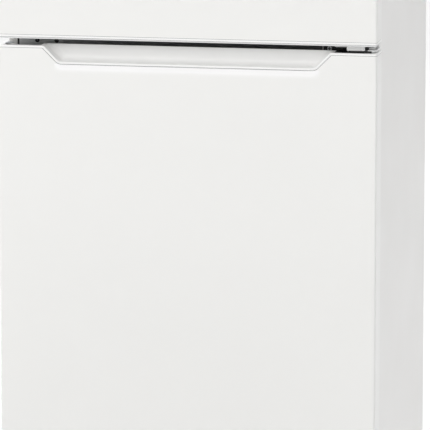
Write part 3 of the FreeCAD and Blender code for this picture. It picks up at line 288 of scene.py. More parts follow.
def shelf_glass():
    """Toughened glass with its green tint and a little haze."""
    f = Finish("shelf_glass", IOR=1.52, Alpha=0.32)
    f.blend(f.noise(6.0), srgb(168, 206, 190), srgb(180, 214, 200))
    f.roughness(50.0, 5.0, 0.01, 0.04)
    f.bump(f.noise(12.0, 1.0), 0.0003, 0.05)
    return f.material


def soft_seal():
    """Flexible door seal: pale, dull, with fine lengthwise extrusion lines."""
    f = Finish("soft_seal", IOR=1.45, Sheen_Weight=0.25, Sheen_Roughness=0.4)
    f.blend(f.noise(35.0, 4.0), srgb(208, 209, 208), srgb(224, 224, 223))
    f.roughness(120.0, 3.0, 0.5, 0.66)
    f.bump(f.noise(1100.0, 2.0), 0.00005, 0.5)
    return f.material


def black_rubber():
    """Dull rubber with dust on what faces up."""
    f = Finish("black_rubber", IOR=1.45, Sheen_Weight=0.15)
    tone = srgb(28, 28, 28)
    f.colour(f.dusted(f.mix(f.noise(60.0, 4.0), tone, scaled(tone, 1.7)), srgb(110, 108, 102), 0.3))
    f.roughness(150.0, 4.0, 0.62, 0.85)
    f.bump(f.noise(800.0, 3.0), 0.00015, 0.6)
    return f.material


def copper_pipe():
    """Drawn copper gone brown in places, with fine draw lines."""
    f = Finish("copper_pipe", metallic=1.0)
    tarnish = f.span(f.noise(38.0, 6.0), 0.42, 0.62, 0.0, 1.0)
    f.blend(tarnish, srgb(214, 132, 92), srgb(128, 74, 50))
    f.roughness(90.0, 4.0, 0.26, 0.5)
    f.bump(f.noise(900.0, 2.0, stretch=(1, 1, 0.05)), 0.00003, 0.5)
    return f.material


def bare_aluminium():
    f = Finish("bare_aluminium", metallic=1.0)
    f.blend(f.noise(50.0, 5.0), srgb(198, 201, 204), srgb(226, 228, 230))
    f.roughness(180.0, 4.0, 0.28, 0.44)
    f.bump(f.noise(600.0, 2.0, stretch=(1, 1, 0.05)), 0.00004, 0.4)
    return f.material


def solder():
    f = Finish("braze_joint", metallic=1.0)
    f.blend(f.noise(400.0, 4.0), srgb(196, 168, 108), srgb(120, 96, 70))
    f.roughness(500.0, 3.0, 0.3, 0.55)
    f.bump(f.noise(700.0, 3.0), 0.0004, 0.7)
    return f.material


def wire_cover(name, tone):
    f = Finish(name, IOR=1.45)
    f.blend(f.noise(90.0), scaled(tone, 0.85), tone)
    f.roughness(300.0, 3.0, 0.36, 0.5)
    f.bump(f.noise(1500.0), 0.00003, 0.4)
    return f.material


def earth_wire():
    """Green cover with a yellow stripe that winds along it."""
    f = Finish("earth_wire", IOR=1.45)
    wave = f.maths("GREATER_THAN", f.stripes("Z", 160.0), 0.55)
    f.blend(wave, srgb(40, 120, 52), srgb(222, 196, 44))
    f.roughness(300.0, 3.0, 0.36, 0.5)
    return f.material


def foam_sleeve():
    f = Finish("foam_sleeve", IOR=1.4)
    base = f.mix(f.noise(300.0, 3.0), srgb(44, 44, 46), srgb(66, 66, 68))
    f.colour(f.dusted(base, srgb(120, 118, 112), 0.3))
    f.roughness(200.0, 3.0, 0.8, 0.95)
    f.bump(f.cells(1100.0), 0.0004, 0.7)
    return f.material


def frosted_lamp():
    f = Finish("frosted_lamp", IOR=1.5, Emission_Color=srgb(255, 236, 206), Emission_Strength=0.6)
    f.blend(f.noise(40.0), srgb(236, 236, 232), srgb(250, 250, 246))
    f.roughness(120.0, 3.0, 0.4, 0.55)
    f.bump(f.noise(600.0), 0.00003, 0.3)
    return f.material


def pale_floor():
    f = Finish("pale_floor", IOR=1.4)
    f.blend(f.noise(3.0, 4.0), srgb(243, 243, 243), srgb(247, 247, 247))
    f.roughness(8.0, 4.0, 0.6, 0.75)
    return f.material


M = {
    "door_steel": painted_steel("door_steel", srgb(246, 246, 244), 0.30),
    "side_steel": painted_steel("side_steel", srgb(242, 241, 239), 0.34),
    "white_cap": moulded_plastic("white_cap", srgb(253, 253, 252), 0.30, variation=0.985),
    "galvanised": galvanised_sheet(),
    "grey_rail": grey_painted_rail(),
    "hinge_paint": hinge_paint(),
    "cover_grey": end_cover_plastic(),
    # greyer than the caps to stand in for the shade under the freezer door: painted shade
    "edge_shade_grey": moulded_plastic("edge_strip_shade_grey", srgb(226, 227, 227), 0.45, 900.0, 0.00004, 0.95),
    "zinc_steel": zinc_steel(),
    "foam": rigid_foam(),
    "liner": liner_sheet(),
    "clear": clear_plastic("clear_plastic", srgb(222, 234, 240), 0.05, 0.24),
    "lens": clear_plastic("lamp_lens_plastic", srgb(248, 248, 244), 0.16, 0.7, 0.1),
    "glass": shelf_glass(),
    "trim": moulded_plastic("trim_plastic", srgb(232, 235, 237), 0.28),
    "seal": soft_seal(),
    # mid grey that stands in for the shadow in narrow seams: painted shade
    "seam_shade_grey": moulded_plastic("seam_shade_grey", srgb(150, 151, 152), 0.6, 900.0, 0.00003, 0.9),
    "rubber": black_rubber(),
    "black_plastic": moulded_plastic("black_plastic", srgb(34, 34, 36), 0.42, 900.0, 0.00006, 0.7),
    "grey_plastic": moulded_plastic("grey_plastic", srgb(138, 140, 142), 0.4, 900.0, 0.00005, 0.9),
    "silver": moulded_plastic("silver_plastic", srgb(190, 193, 196), 0.22),
    "can_paint": black_stove_paint("can_paint", 0.3),
    "tube_paint": black_stove_paint("tube_paint", 0.4),
    "copper": copper_pipe(),
    "aluminium": bare_aluminium(),
    "solder": solder(),
    "brown_wire": wire_cover("brown_wire", srgb(112, 66, 42)),
    "blue_wire": wire_cover("blue_wire", srgb(48, 92, 168)),
    "earth_wire": earth_wire(),
    "sleeve": foam_sleeve(),
    "lamp": frosted_lamp(),
}

# the finish of each CAD node that stays in view
CAD_FINISH = {
    "door_steel": ["freezer_door_skin", "fridge_door_skin"],
    "side_steel": ["outer_wrap"],
    "white_cap": [
        "top_hinge_cover", "freezer_door_top_cap", "freezer_door_bottom_cap",
        "fridge_door_top_cap", "fridge_door_bottom_cap",
    ],
    "galvanised": ["back_panel", "base_pan", "compressor_plate"],
    "grey_rail": ["mid_rail"],
    "hinge_paint": ["top_hinge_bracket", "mid_hinge_bracket", "bottom_hinge_bracket"],
    "zinc_steel": ["screws_and_pins"],
    "foam": ["cabinet_foam", "freezer_door_foam", "fridge_door_foam"],
    "liner": [
        "fridge_liner", "freezer_liner", "freezer_door_liner", "fridge_door_liner",
        "evaporator_cover", "air_duct_panel", "control_console",
    ],
    "clear": [
        "crisper_drawer", "fridge_bin_1", "fridge_bin_2", "fridge_bin_3", "freezer_bin_1", "freezer_bin_2",
    ],
    "lens": ["lamp_lens"],
    "glass": ["shelf_glass_1", "shelf_glass_2", "shelf_glass_3", "crisper_cover_glass"],
    "trim": ["shelf_trims", "thermostat_knob", "freezer_slider", "switch_plunger", "freezer_shelf"],
    "rubber": ["compressor_grommets"],
    "black_plastic": [
        "relay_box", "drip_tray", "condenser_brackets", "fan_blade", "roller_left", "roller_right",
    ],
    "grey_plastic": ["foot_left", "foot_right", "drain_tube", "fan_motor"],
    "can_paint": ["compressor"],
    "tube_paint": ["condenser_tube", "condenser_wires"],
    "copper": ["refrigerant_pipes"],
    "aluminium": ["evaporator"],
}


def paint_cad_nodes():
    """Gives each CAD node its finish."""
    for finish, names in CAD_FINISH.items():
        for name in names:
            node = NODES[name]
            node.data.materials.clear()
            node.data.materials.append(M[finish])


FORWARD = (0, -1, 0)
BACKWARD = (0, 1, 0)
UP = (0, 0, 1)
DOWN = (0, 0, -1)


def box_mm(name):
    """A CAD node's lowest and highest corners in millimetres."""
    low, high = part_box(name)
    return low / MM, high / MM


def spread(low, high, count):
    """Evenly spaced places between two ends, which aren't among them."""
    return [low + (i + 1) * (high - low) / (count + 1) for i in range(count)]


def rounded_loop(low, high, radius, steps=6):
    """Points round a rectangle with rounded corners, as (a, b) pairs, anticlockwise."""
    points = []
    corners = (
        (high[0] - radius, high[1] - radius), (low[0] + radius, high[1] - radius),
        (low[0] + radius, low[1] + radius), (high[0] - radius, low[1] + radius),
    )
    for quarter, (a, b) in enumerate(corners):
        for i in range(steps + 1):
            angle = (quarter + i / steps) * math.pi / 2
            points.append((a + radius * math.cos(angle), b + radius * math.sin(angle)))
    return points


def smooth_path(points, samples=8):
    """A Catmull-Rom curve through the points."""
    points = [Vector(p) for p in points]
    ends = [points[0] * 2 - points[1]] + points + [points[-1] * 2 - points[-2]]
    path = []
    for a, b, c, d in zip(ends, ends[1:], ends[2:], ends[3:]):
        for i in range(samples):
            t = i / samples
            square = (2 * a - 5 * b + 4 * c - d) * t ** 2
            cube = (3 * b - a - 3 * c + d) * t ** 3
            path.append(0.5 * (2 * b + (c - a) * t + square + cube))
    path.append(points[-1])
    return path


def placed(name, data):
    """A new object in the scene."""
    made = bpy.data.objects.new(name, data)
    bpy.context.collection.objects.link(made)
    return made


class Piece:
    """Gathers solids of one finish in one mesh, then becomes a piece that rides on a body."""

    def __init__(self, name, finish, body):
        self.name, self.finish, self.body = name, finish, body
        self.bm = bmesh.new()

    def vertex(self, point):
        return self.bm.verts.new(point)

    def block(self, low, high, rounding, segments=3):
        """A block between two corners with rounded edges."""
        low, high = Vector(low), Vector(high)
        middle = Matrix.Translation((low + high) / 2)
        size = Matrix.Diagonal((*(high - low), 1))
        made = bmesh.ops.create_cube(self.bm, size=1, matrix=middle @ size)
        around = list({e for v in made["verts"] for e in v.link_edges})
        bmesh.ops.bevel(
            self.bm, geom=around, offset=rounding, segments=segments, profile=0.5, affect="EDGES"
        )
        return self

    def circles(self, outline, centre, axis, steps):
        """A circle of vertices about an axis for each (radius, height) point of an outline."""
        turn, centre = Vector(UP).rotation_difference(Vector(axis)).to_matrix(), Vector(centre)
        round_once = [2 * math.pi * i / steps for i in range(steps)]
        return [
            [self.vertex(centre + turn @ Vector((r * math.cos(a), r * math.sin(a), h))) for a in round_once]
            for r, h in outline
        ]

    def turned(self, profile, origin, axis=UP, steps=40):
        """A body of revolution from (radius, height) points; the ends are closed."""
        return self.skin(self.circles(profile, origin, axis, steps))

    def hoop(self, section, centre, axis=UP, steps=40):
        """A ring of revolution whose section is a closed loop of (radius, height) points."""
        return self.skin(list(zip(*self.circles(section, centre, axis, steps))), closed_path=True)

    def skin(self, rings, closed_path=False):
        """Quads between matching rings of vertices, with closed ends where the path is open."""
        pairs = list(zip(rings, rings[1:]))
        if closed_path:
            pairs.append((rings[-1], rings[0]))
        for a, b in pairs:
            for i in range(len(a)):
                j = (i + 1) % len(a)
                self.bm.faces.new((a[i], a[j], b[j], b[i]))
        if not closed_path:
            self.bm.faces.new(list(reversed(rings[0])))
            self.bm.faces.new(rings[-1])
        return self

    def tube(self, points, radius, sides=12):
        """A round lead along a smooth curve through the points."""
        path = smooth_path(points)
        rings = []
        side = None
        for i, here in enumerate(path):
            ahead = (path[min(i + 1, len(path) - 1)] - path[max(i - 1, 0)]).normalized()
            side = ahead.orthogonal() if side is None else side - ahead * side.dot(ahead)
            side.normalize()
            other = ahead.cross(side)
            ring = []
            for k in range(sides):
                a = 2 * math.pi * k / sides
                ring.append(self.vertex(here + radius * (math.cos(a) * side + math.sin(a) * other)))
            rings.append(ring)
        return self.skin(rings)

    def swept(self, path, section, level=0, closed_path=False, upright=False):
        """A section of (inward, off the plane) points carried along a flat path, level or upright."""
        last = len(path) - 1
        rings = []
        for i, here in enumerate(path):
            before = path[i - 1] if closed_path or i > 0 else path[0]
            after = path[(i + 1) % len(path)] if closed_path or i < last else path[last]
            inward = (Vector(after) - Vector(before)).orthogonal().normalized()
            ring = [(*(Vector(here) + inward * u), level + v) for u, v in section]
            rings.append([self.vertex((p, r, q) if upright else (p, q, r)) for p, q, r in ring])
        return self.skin(rings, closed_path)

    def done(self, sharp=35.0, subdivide=0, bevel=0.0, replaces=(), turn_out=True):
        """Makes the object, smooths it, gives it its finish and lets it ride."""
        if turn_out:
            bmesh.ops.recalc_face_normals(self.bm, faces=self.bm.faces)
        bmesh.ops.scale(self.bm, vec=(MM, MM, MM), verts=self.bm.verts)
        mesh = bpy.data.meshes.new(self.name)
        self.bm.to_mesh(mesh)
        self.bm.free()
        mesh.shade_smooth()
        mesh.set_sharp_from_angle(angle=math.radians(sharp))
        mesh.materials.append(M[self.finish])
        made = placed(self.name, mesh)
        if bevel:
            modifier = made.modifiers.new("edges", "BEVEL")
            modifier.width, modifier.segments, modifier.limit_method = bevel * MM, 2, "ANGLE"
        if subdivide:
            modifier = made.modifiers.new("smooth", "SUBSURF")
            modifier.levels = modifier.render_levels = subdivide
        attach(made, self.body)
        if replaces:
            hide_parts(*replaces)


# ---- doors
# the cap faces where the two doors meet their pins, and the line of those pins
FRIDGE_DOOR_TOP = 996
FREEZER_DOOR_BOTTOM = 1008
PIN_X, PIN_Y = 258, -262

# half of a snap-in plug's outline, as (radius, height)
PLUG_DOME = [(0.4, -1), (4.6, -0.1), (5.2, 0.3), (4.6, 1.1), (2.5, 1.7), (0.3, 1.8)]


def door_gasket(node, body, name):
    """Bellows seal swept round the door, in place of the plain CAD ring."""
    low, high = box_mm(node)
    # the inset from the door's edge, and the share of the seal's depth from front to back
    bellows = [
        (0.4, 0.00), (0.0, 0.10), (0.5, 0.20), (2.4, 0.26), (3.2, 0.38), (2.2, 0.48), (0.6, 0.54),
        (0.2, 0.70), (0.3, 0.90), (1.0, 1.00), (12.6, 1.00), (13.4, 0.90), (13.6, 0.70), (13.2, 0.54),
        (11.6, 0.48), (10.6, 0.38), (11.4, 0.26), (13.4, 0.20), (14.0, 0.10), (13.6, 0.00),
    ]
    profile = [(inset, low.y + share * (high.y - low.y)) for inset, share in bellows]
    loop = rounded_loop((low.x, low.z), (high.x, high.z), 2, 4)
    seal = Piece(name, "seal", body).swept(loop, profile, closed_path=True, upright=True)
    seal.done(sharp=60, replaces=[node])


def bin_details(node, body):
    """Rim rail with its silver line, end mouldings and upright ribs on a door bin."""
    low, high = box_mm(node)
    rail = Piece(f"{node}_rail", "trim", body)
    rail.block((low.x + 6, high.y - 2.8, high.z - 13), (high.x - 6, high.y + 1, high.z + 1.5), 1.4)
    for x, inner in ((low.x, 1), (high.x, -1)):
        left, right = sorted((x + inner * 0.3, x + inner * 3.4))
        rail.block((left, low.y + 30, high.z - 9), (right, high.y - 7, high.z + 1.5), 1)
    rail.done()
    ends = (low.x + 12, high.y + 0.6, high.z - 7.5), (high.x - 12, high.y + 1.5, high.z - 4.5)
    Piece(f"{node}_line", "silver", body).block(*ends, 0.4).done()
    ribs = Piece(f"{node}_ribs", "clear", body)
    for x in spread(low.x, high.x, 9):
        ribs.block((x - 1.2, high.y - 0.4, low.z + 13), (x + 1.2, high.y + 0.8, high.z - 16), 0.5, 2)
    ribs.done()


def cups(piece, low, high, top, columns, rows, depth, rim):
    """A plate at height top between two (x, y) corners, pressed down into a grid of tapered cups."""
    thick = 1.6
    dx, dy = (high[0] - low[0]) / columns, (high[1] - low[1]) / rows
    # how far each ring of a cup is set in, and how deep it lies as a share of the depth
    steps = ((0, 0), (rim, 0), (rim * 1.25, 0.25), (rim * 2.4, 0.85), (rim * 3.6, 1.0))
    shared = {}

    def vertex(*point):
        key = tuple(round(value, 3) for value in point)
        if key not in shared:
            shared[key] = piece.vertex(point)
        return shared[key]

    def cup(x0, y0, z, flip):
        rings = []
        for inset, share in steps:
            a, b = x0 + inset, x0 + dx - inset
            c, d = y0 + inset, y0 + dy - inset
            level = z - depth * share
            rings.append([vertex(x, y, level) for x, y in ((a, c), (b, c), (b, d), (a, d))])
        faces = []
        for outer, inner in zip(rings, rings[1:]):
            for k in range(4):
                n = (k + 1) % 4
                faces.append((outer[k], outer[n], inner[n], inner[k]))
        for face in faces + [rings[-1]]:
            piece.bm.faces.new(face[::-1] if flip else face)

    for flip, drop in ((False, 0), (True, thick)):
        for i in range(columns):
            for j in range(rows):
                cup(low[0] + i * dx, low[1] + j * dy, top - drop, flip)
    border = [e for e in piece.bm.edges if len(e.link_faces) == 1]
    bmesh.ops.bridge_loops(piece.bm, edges=border)


def egg_tray():
    """Six-cup egg tray in the upper fridge bin."""
    low, high = box_mm("fridge_bin_3")
    tray = Piece("egg_tray", "trim", FRIDGE_DOOR)
    cups(tray, (-150, low.y + 7), (150, high.y - 9), low.z + 44, columns=6, rows=1, depth=22, rim=3.5)
    tray.done(sharp=80, subdivide=2)


def top_hole_plugs():
    """Plugs in the cabinet's top, in the holes that a left-hung door would use."""
    roof = box_mm("outer_wrap")[1].z
    plugs = Piece("top_hole_plugs", "trim", CABINET)
    for x, y in ((-200, -215), (-200, -165), (-246, -165)):
        plugs.turned(PLUG_DOME, (x, y, roof), steps=28)
    plugs.done()


def rail_end_details():
    """Cover with two plugs at the cross rail's left end, and black strips in its end joints that stand in
    for the shadow there: painted shadow.
    """
    low, high = box_mm("mid_rail")
    face, cover_end = low.y - 1.4, -187
    cover = Piece("rail_end_cover", "cover_grey", CABINET)
    cover.block((low.x + 0.6, face, 988.5), (cover_end, low.y + 0.1, 1013.6), 0.65)
    cover.block((low.x + 6, face - 0.5, 992.5), (cover_end - 6, face + 0.2, 993.2), 0.25, 2)
    cover.done()
    # black strips standing in for the shadow in the rail's end joints: painted shadow
    seal = Piece("rail_end_shadow_strip", "rubber", CABINET)
    for x, inner in ((low.x, 1), (high.x, -1)):
        left, right = sorted((x - inner * 2.4, x + inner * 0.9))
        seal.block((left, low.y - 0.3, 976), (right, low.y + 0.8, 1030), 0.2, 2)
    seal.done()
    plugs = Piece("rail_hole_plugs", "black_plastic", CABINET)
    small = [(r * 0.62, h * 0.7) for r, h in PLUG_DOME]
    for x in (-196, -224):
        plugs.turned(small, (x, face, 996.8), axis=FORWARD, steps=28)
    plugs.done()


def pin_plugs():
    """Plugs in the left ends of the doors' facing caps, where the pins of a left-hung door would go."""
    wide = [(r * 1.35, h) for r, h in PLUG_DOME]
    for body, z, axis in ((FRIDGE_DOOR, FRIDGE_DOOR_TOP, UP), (FREEZER_DOOR, FREEZER_DOOR_BOTTOM, DOWN)):
        plug = Piece(f"{body}_pin_plug", "trim", body)
        plug.turned(wide, (-PIN_X, PIN_Y, z), axis=axis, steps=32).done()


def door_edge(node, inset, reach, back):
    """Points (x, y) round a door skin's left front corner, from back behind it to reach from the middle."""
    low, high = box_mm(node)
    half, front = high.x - inset, low.y + inset
    corner, rear_clearance, steps = 3.0 - inset, 1.2, 6
    path = [(-half, min(high.y - rear_clearance, front + back)), (-half, front + corner)]
    for i in range(1, steps + 1):
        a = i / steps * math.pi / 2
        path.append((-half + corner * (1 - math.cos(a)), front + corner * (1 - math.sin(a))))
    return path + [(-reach, front)]


def both_sides(path):
    """A left-hand edge path, and its mirror image."""
    return path, [(-x, y) for x, y in reversed(path)]


def seam_strips():
    """Grey strips in the seams between each door's skin and its end caps, standing in for the shadow in
    those seams: painted shade.
    """
    sunk, pocket_mouth = 0.25, 206.5
    section = [(0, -0.26), (0, 0.26), (0.7, 0.26), (0.7, -0.26)]
    for body, top_reach in ((FREEZER_DOOR, 0), (FRIDGE_DOOR, pocket_mouth)):
        skin = f"{body}_skin"
        low, high = box_mm(skin)
        strips = Piece(f"{body}_seams", "seam_shade_grey", body)
        for z, reach in ((low.z - sunk, 0), (high.z + sunk, top_reach)):
            for path in both_sides(door_edge(skin, sunk, reach, 60)):
                strips.swept(path, section, z)
        strips.done()


def edge_strip():
    """Pale grey bumper strip under the freezer door, greyer than the white caps to stand in for the shade
    under the door (painted shade), held in a dark joint strip that stands in for the seam's shadow (painted
    shade).
    """
    for name, finish, inset, low, high, deep, bevel in (
        ("freezer_edge_strip", "edge_shade_grey", 0.5, -2.2, -0.4, 4.5, 0.3),
        ("freezer_edge_joint", "seam_shade_grey", 0.9, -0.5, 0.3, 3.5, 0.0),
    ):
        strips = Piece(name, finish, FREEZER_DOOR)
        section = [(0, low), (0, high), (deep, high), (deep, low)]
        for path in both_sides(door_edge("freezer_door_skin", inset, 0, 36)):
            strips.swept(path, section, FREEZER_DOOR_BOTTOM)
        strips.done(bevel=bevel)


def rolled_skin():
    """The fridge door's skin with its outer face rolled back toward the grip pocket's lip."""
    name = "fridge_door_skin"
    front = box_mm(name)[0].y
    deep, steps = 0.65, 8
    # the roll is full within this reach of the middle and has died out at the other
    full, none, columns = 170, 182, 5
    sheet = Piece("fridge_door_sheet", "door_steel", FRIDGE_DOOR)
    sheet.bm.from_mesh(NODES[name].data)
    bmesh.ops.scale(sheet.bm, vec=(1 / MM, 1 / MM, 1 / MM), verts=sheet.bm.verts)
    cuts = [((0, 0, LIP_Z - ROLL_TALL * i / steps), UP) for i in range(1, steps + 1)]
    for i in range(columns):
        x = full + (none - full) * i / (columns - 1)
        cuts += [((side * x, 0, 0), (1, 0, 0)) for side in (1, -1)]
    for place, normal in cuts:
        parts = sheet.bm.verts[:] + sheet.bm.edges[:] + sheet.bm.faces[:]
        bmesh.ops.bisect_plane(sheet.bm, geom=parts, dist=0.001, plane_co=place, plane_no=normal)
    for v in sheet.bm.verts:
        rise = (v.co.z - LIP_Z + ROLL_TALL) / ROLL_TALL
        if v.co.y < front + 0.1 and 0 < rise < 1.1:
            across = min(1.0, max(0.0, (none - abs(v.co.x)) / (none - full)))
            v.co.y += deep * min(rise, 1.0) ** ROLL_POWER * across
    sheet.done(sharp=30, replaces=[name], turn_out=False)


def grip_seam():
    """The same grey strip round the mouth of the grip pocket, between its lip and the skin: painted shade
    in that seam.
    """
    front = box_mm("fridge_door_skin")[0].y + 0.3
    top, bottom, mouth, floor, corner = 992.8, 970.25, 206.2, 183.65, 12.75
    half_wide, deep, steps = 0.26, 0.5, 8
    path = [(-mouth, top)]
    centre_x, centre_z = -floor + corner * math.tan(math.radians(22.5)), bottom + corner
    for i in range(steps + 1):
        a = math.radians(225 + 45 * i / steps)
        path.append((centre_x + corner * math.cos(a), centre_z + corner * math.sin(a)))
    path += [(-x, z) for x, z in reversed(path)]
    section = [(half_wide, 0), (-half_wide, 0), (-half_wide, deep), (half_wide, deep)]
    Piece("grip_seam", "seam_shade_grey", FRIDGE_DOOR).swept(path, section, front, upright=True).done()


# ---- middle hinge
def hinge_pads():
    """Black seat under the middle hinge, black pads on its leg and black strips under and beside its plate,
    all standing in for the deep shade there (painted shade), and the plate's white cover.
    """
    front = box_mm("mid_hinge_bracket")[0].y
    leg_face = box_mm("mid_rail")[0].y - 2.5
    before_collar = PIN_Y - 8.4
    # black seat standing in for the shade under the hinge plate: painted shade
    seat = Piece("hinge_shade_seat", "black_plastic", FRIDGE_DOOR)
    seat.block((216.0, front - 4.6, 990.7), (250.0, -241.4, 992.6), 0.5)
    seat.block((249.0, front - 4.6, 990.7), (261.2, before_collar, 992.6), 0.5)
    seat.done()
    # black pads standing in for the shade on the hinge leg: painted shade
    pad = Piece("hinge_leg_shade_pad", "black_plastic", CABINET)
    pad.block((186.8, leg_face - 0.8, 990.8), (261.2, leg_face + 0.2, 997.2), 0.35)
    pad.block((186.8, leg_face - 0.7, 995.0), (204.8, leg_face + 0.2, 1005.2), 0.35)
    pad.block((248.0, leg_face - 0.8, 996.0), (264.5, leg_face + 0.2, 1010.0), 0.35)
    pad.done()
    # black strips standing in for the shadow under the plate's front and at its right end: painted shadow
    edge = Piece("hinge_plate_shadow_strip", "rubber", CABINET)
    edge.block((228.5, front - 0.9, 996.3), (261.2, front + 0.5, 998.5), 0.3)
    edge.block((252.3, front - 0.8, 999.5), (256.2, before_collar, 1004.5), 0.3)
    edge.done()
    cover = Piece("hinge_plate_cover", "white_cap", CABINET)
    cover.block((226.2, front - 0.8, 998.6), (248.0, -244.0, 1005.2), 0.9)
    cover.block((246.0, front - 0.8, 998.6), (252.0, before_collar, 1005.2), 0.9)
    cover.block((206.4, -260.0, 1001.2), (227.0, -241.0, 1005.0), 0.9)
    cover.done()


def hinge_screw_details():
    """Black cups round the heads of the middle hinge's screws, and black crosses on each head that stand in
    for the shade in its cross recess: painted shade.
    """
    leg_face = box_mm("mid_rail")[0].y - 2.5
    cup = [(3.5, 2.2), (3.5, 2.9), (4.1, 3.3), (6.0, 3.1), (6.8, 2.3), (6.8, 0.2), (6.2, 0.2), (6.2, 2.2)]
    long, wide = 2.9, 0.55
    holders = Piece("hinge_screw_cups", "black_plastic", CABINET)
    recesses = Piece("hinge_screw_recesses", "black_plastic", CABINET)
    for x, z in ((196, 995.5), (232, 1007)):
        holders.hoop(cup, (x, leg_face, z), axis=FORWARD, steps=32)
        for dx, dz in ((long, wide), (wide, long)):
            # black cross standing in for the shade in the screw's recess: painted shade
            recesses.block((x - dx, leg_face - 2.2, z - dz), (x + dx, leg_face - 1.5, z + dz), 0.1, 1)
    holders.done()
    recesses.done()


def hinge_bushes():
    """Grey nylon bushes round the door collars at the middle hinge."""
    section = [(7.05, 0.1), (7.6, 0.1), (7.9, 0.4), (7.9, 1.2), (7.6, 1.5), (7.05, 1.5)]
    for name, body, z, stretch in (
        ("fridge_hinge_bush", FRIDGE_DOOR, FRIDGE_DOOR_TOP - 1.5, 1.0),
        ("freezer_hinge_bush", FREEZER_DOOR, FREEZER_DOOR_BOTTOM, -3.4),
    ):
        stretched = [(r, h * stretch) for r, h in section]
        Piece(name, "grey_plastic", body).hoop(stretched, (PIN_X, PIN_Y, z)).done()


# ---- fridge interior
def crisper_details():
    """Grip strip, silver rim and upright ribs on the salad drawer."""
    body = "crisper_drawer_body"
    low, high = box_mm("crisper_drawer")
    front = low.y + 12
    grip = Piece("crisper_grip", "trim", body)
    grip.block((-94, low.y - 0.3, high.z - 13.5), (94, front + 0.2, high.z - 11.8), 0.6)
    grip.block((-100, front - 2.2, high.z - 38), (100, front + 0.2, high.z - 12), 1)
    grip.done()
    loop = rounded_loop((low.x, front), (high.x, high.y), 12)
    section = [(-0.2, 0.4), (2.8, 0.4), (2.8, -2.6), (2.2, -3.0), (0.0, -3.0), (-0.2, -2.6)]
    Piece("crisper_rim", "silver", body).swept(loop, section, high.z, closed_path=True).done()
    ribs = Piece("crisper_ribs", "clear", body)
    for x in spread(low.x, high.x, 11):
        ribs.block((x - 1.5, front - 0.9, low.z + 22), (x + 1.5, front + 0.4, low.z + 140), 0.6, 2)
    ribs.done()


def console_details():
    """Dial marks that grow round the thermostat, its pointer, and the lamp behind its ribbed lens."""
    under = box_mm("control_console")[0].z
    knob_low, knob_high = box_mm("thermostat_knob")
    centre = (knob_low + knob_high) / 2
    marks = Piece("dial_marks", "silver", CABINET)
    circle = 25
    for i in range(8):
        angle = math.radians(-50 + i * 40)
        spot = (centre.x + circle * math.sin(angle), centre.y + circle * math.cos(angle), under)
        size = 0.8 + 0.25 * i
        marks.turned([(size * 0.2, 0.2), (size, 0.2), (size, -0.3), (size * 0.3, -0.5)], spot, steps=16)
    marks.done()
    pointer = Piece("knob_pointer", "black_plastic", "thermostat_knob_body")
    near = (centre.x - 0.8, centre.y - 16.5, knob_low.z - 0.4)
    pointer.block(near, (centre.x + 0.8, centre.y - 6, knob_low.z + 0.3), 0.25, 2).done()
    low, high = box_mm("lamp_lens")
    middle = (low + high) / 2
    bulb = Piece("lamp_bulb", "lamp", CABINET)
    profile = [(5.5, 0), (5.5, 4), (8.2, 9), (10.4, 17), (10.0, 26), (7.5, 33), (3.5, 37), (0.4, 38)]
    bulb.turned(profile, (middle.x - 24, middle.y, high.z + 10), axis=(1, 0, 0), steps=32).done(sharp=80)
    ribs = Piece("lens_ribs", "lens", CABINET)
    count, margin = 13, 10
    for i in range(count):
        x = low.x + margin + i * (high.x - low.x - 2 * margin) / (count - 1)
        ribs.block((x - 1.2, low.y + 5, low.z - 0.9), (x + 1.2, high.y - 5, low.z + 0.6), 0.5, 2)
    ribs.done()


def duct_border():
    """Raised border on the air duct's panel."""
    low, high = box_mm("air_duct_panel")
    loop = rounded_loop((low.x + 8, low.z + 10), (high.x - 8, high.z - 12), 9)
    section = [(0.0, 0.2), (0.3, -0.9), (1.2, -1.2), (2.4, -0.9), (2.8, 0.2)]
    border = Piece("duct_border", "trim", CABINET)
    border.swept(loop, section, low.y, closed_path=True, upright=True).done(sharp=60)


# ---- freezer interior
def ice_tray():
    """Twelve-cell ice tray on the freezer shelf."""
    top = box_mm("freezer_shelf")[1].z + 36
    tray = Piece("ice_tray", "trim", CABINET)
    cups(tray, (-150, -50), (90, 50), top, columns=6, rows=2, depth=34, rim=2.2)
    tray.done(sharp=80, bevel=0.6)


def freezer_cover_details():
    """Pressed ribs, screw covers and the fan grille's rings on the evaporator cover."""
    low, high = box_mm("evaporator_cover")
    ribs = Piece("freezer_cover_ribs", "liner", CABINET)
    for i in range(5):
        z = low.z + 46 + i * 20
        ribs.block((low.x + 30, low.y - 1.4, z), (high.x - 30, low.y + 0.3, z + 5), 0.8)
    ribs.done()
    caps = Piece("freezer_cover_caps", "trim", CABINET)
    dome = [(0.4, -0.5), (5.0, -0.2), (5.4, 0.5), (4.4, 1.5), (0.4, 2.0)]
    for x in (low.x + 16, high.x - 16):
        for z in (low.z + 20, high.z - 20):
            caps.turned(dome, (x, low.y, z), axis=FORWARD, steps=24)
    caps.done()
    fan_low, fan_high = box_mm("fan_blade")
    centre = (fan_low + fan_high) / 2
    axis_z = 1270
    rings = Piece("fan_grille_ring", "trim", CABINET)
    bead = [(-1.6, -0.2), (-1.2, 1.4), (0.0, 1.8), (1.2, 1.4), (1.6, -0.2)]
    for radius in (50, 12):
        section = [(radius + u, h) for u, h in bead]
        rings.hoop(section, (centre.x, low.y, axis_z), axis=FORWARD, steps=56)
    rings.done(sharp=70)


# ---- back and machine compartment
def screw_head(piece, place, axis, radius=3.6):
    """A pan head with a dished recess."""
    outline = [
        (0.3, -0.3), (1, -0.1), (1, 0.5), (0.85, 1.3), (0.5, 1.8), (0.36, 1.8), (0.2, 0.8), (0.05, 0.7),
    ]
    piece.turned([(share * radius, h) for share, h in outline], place, axis=axis, steps=20)


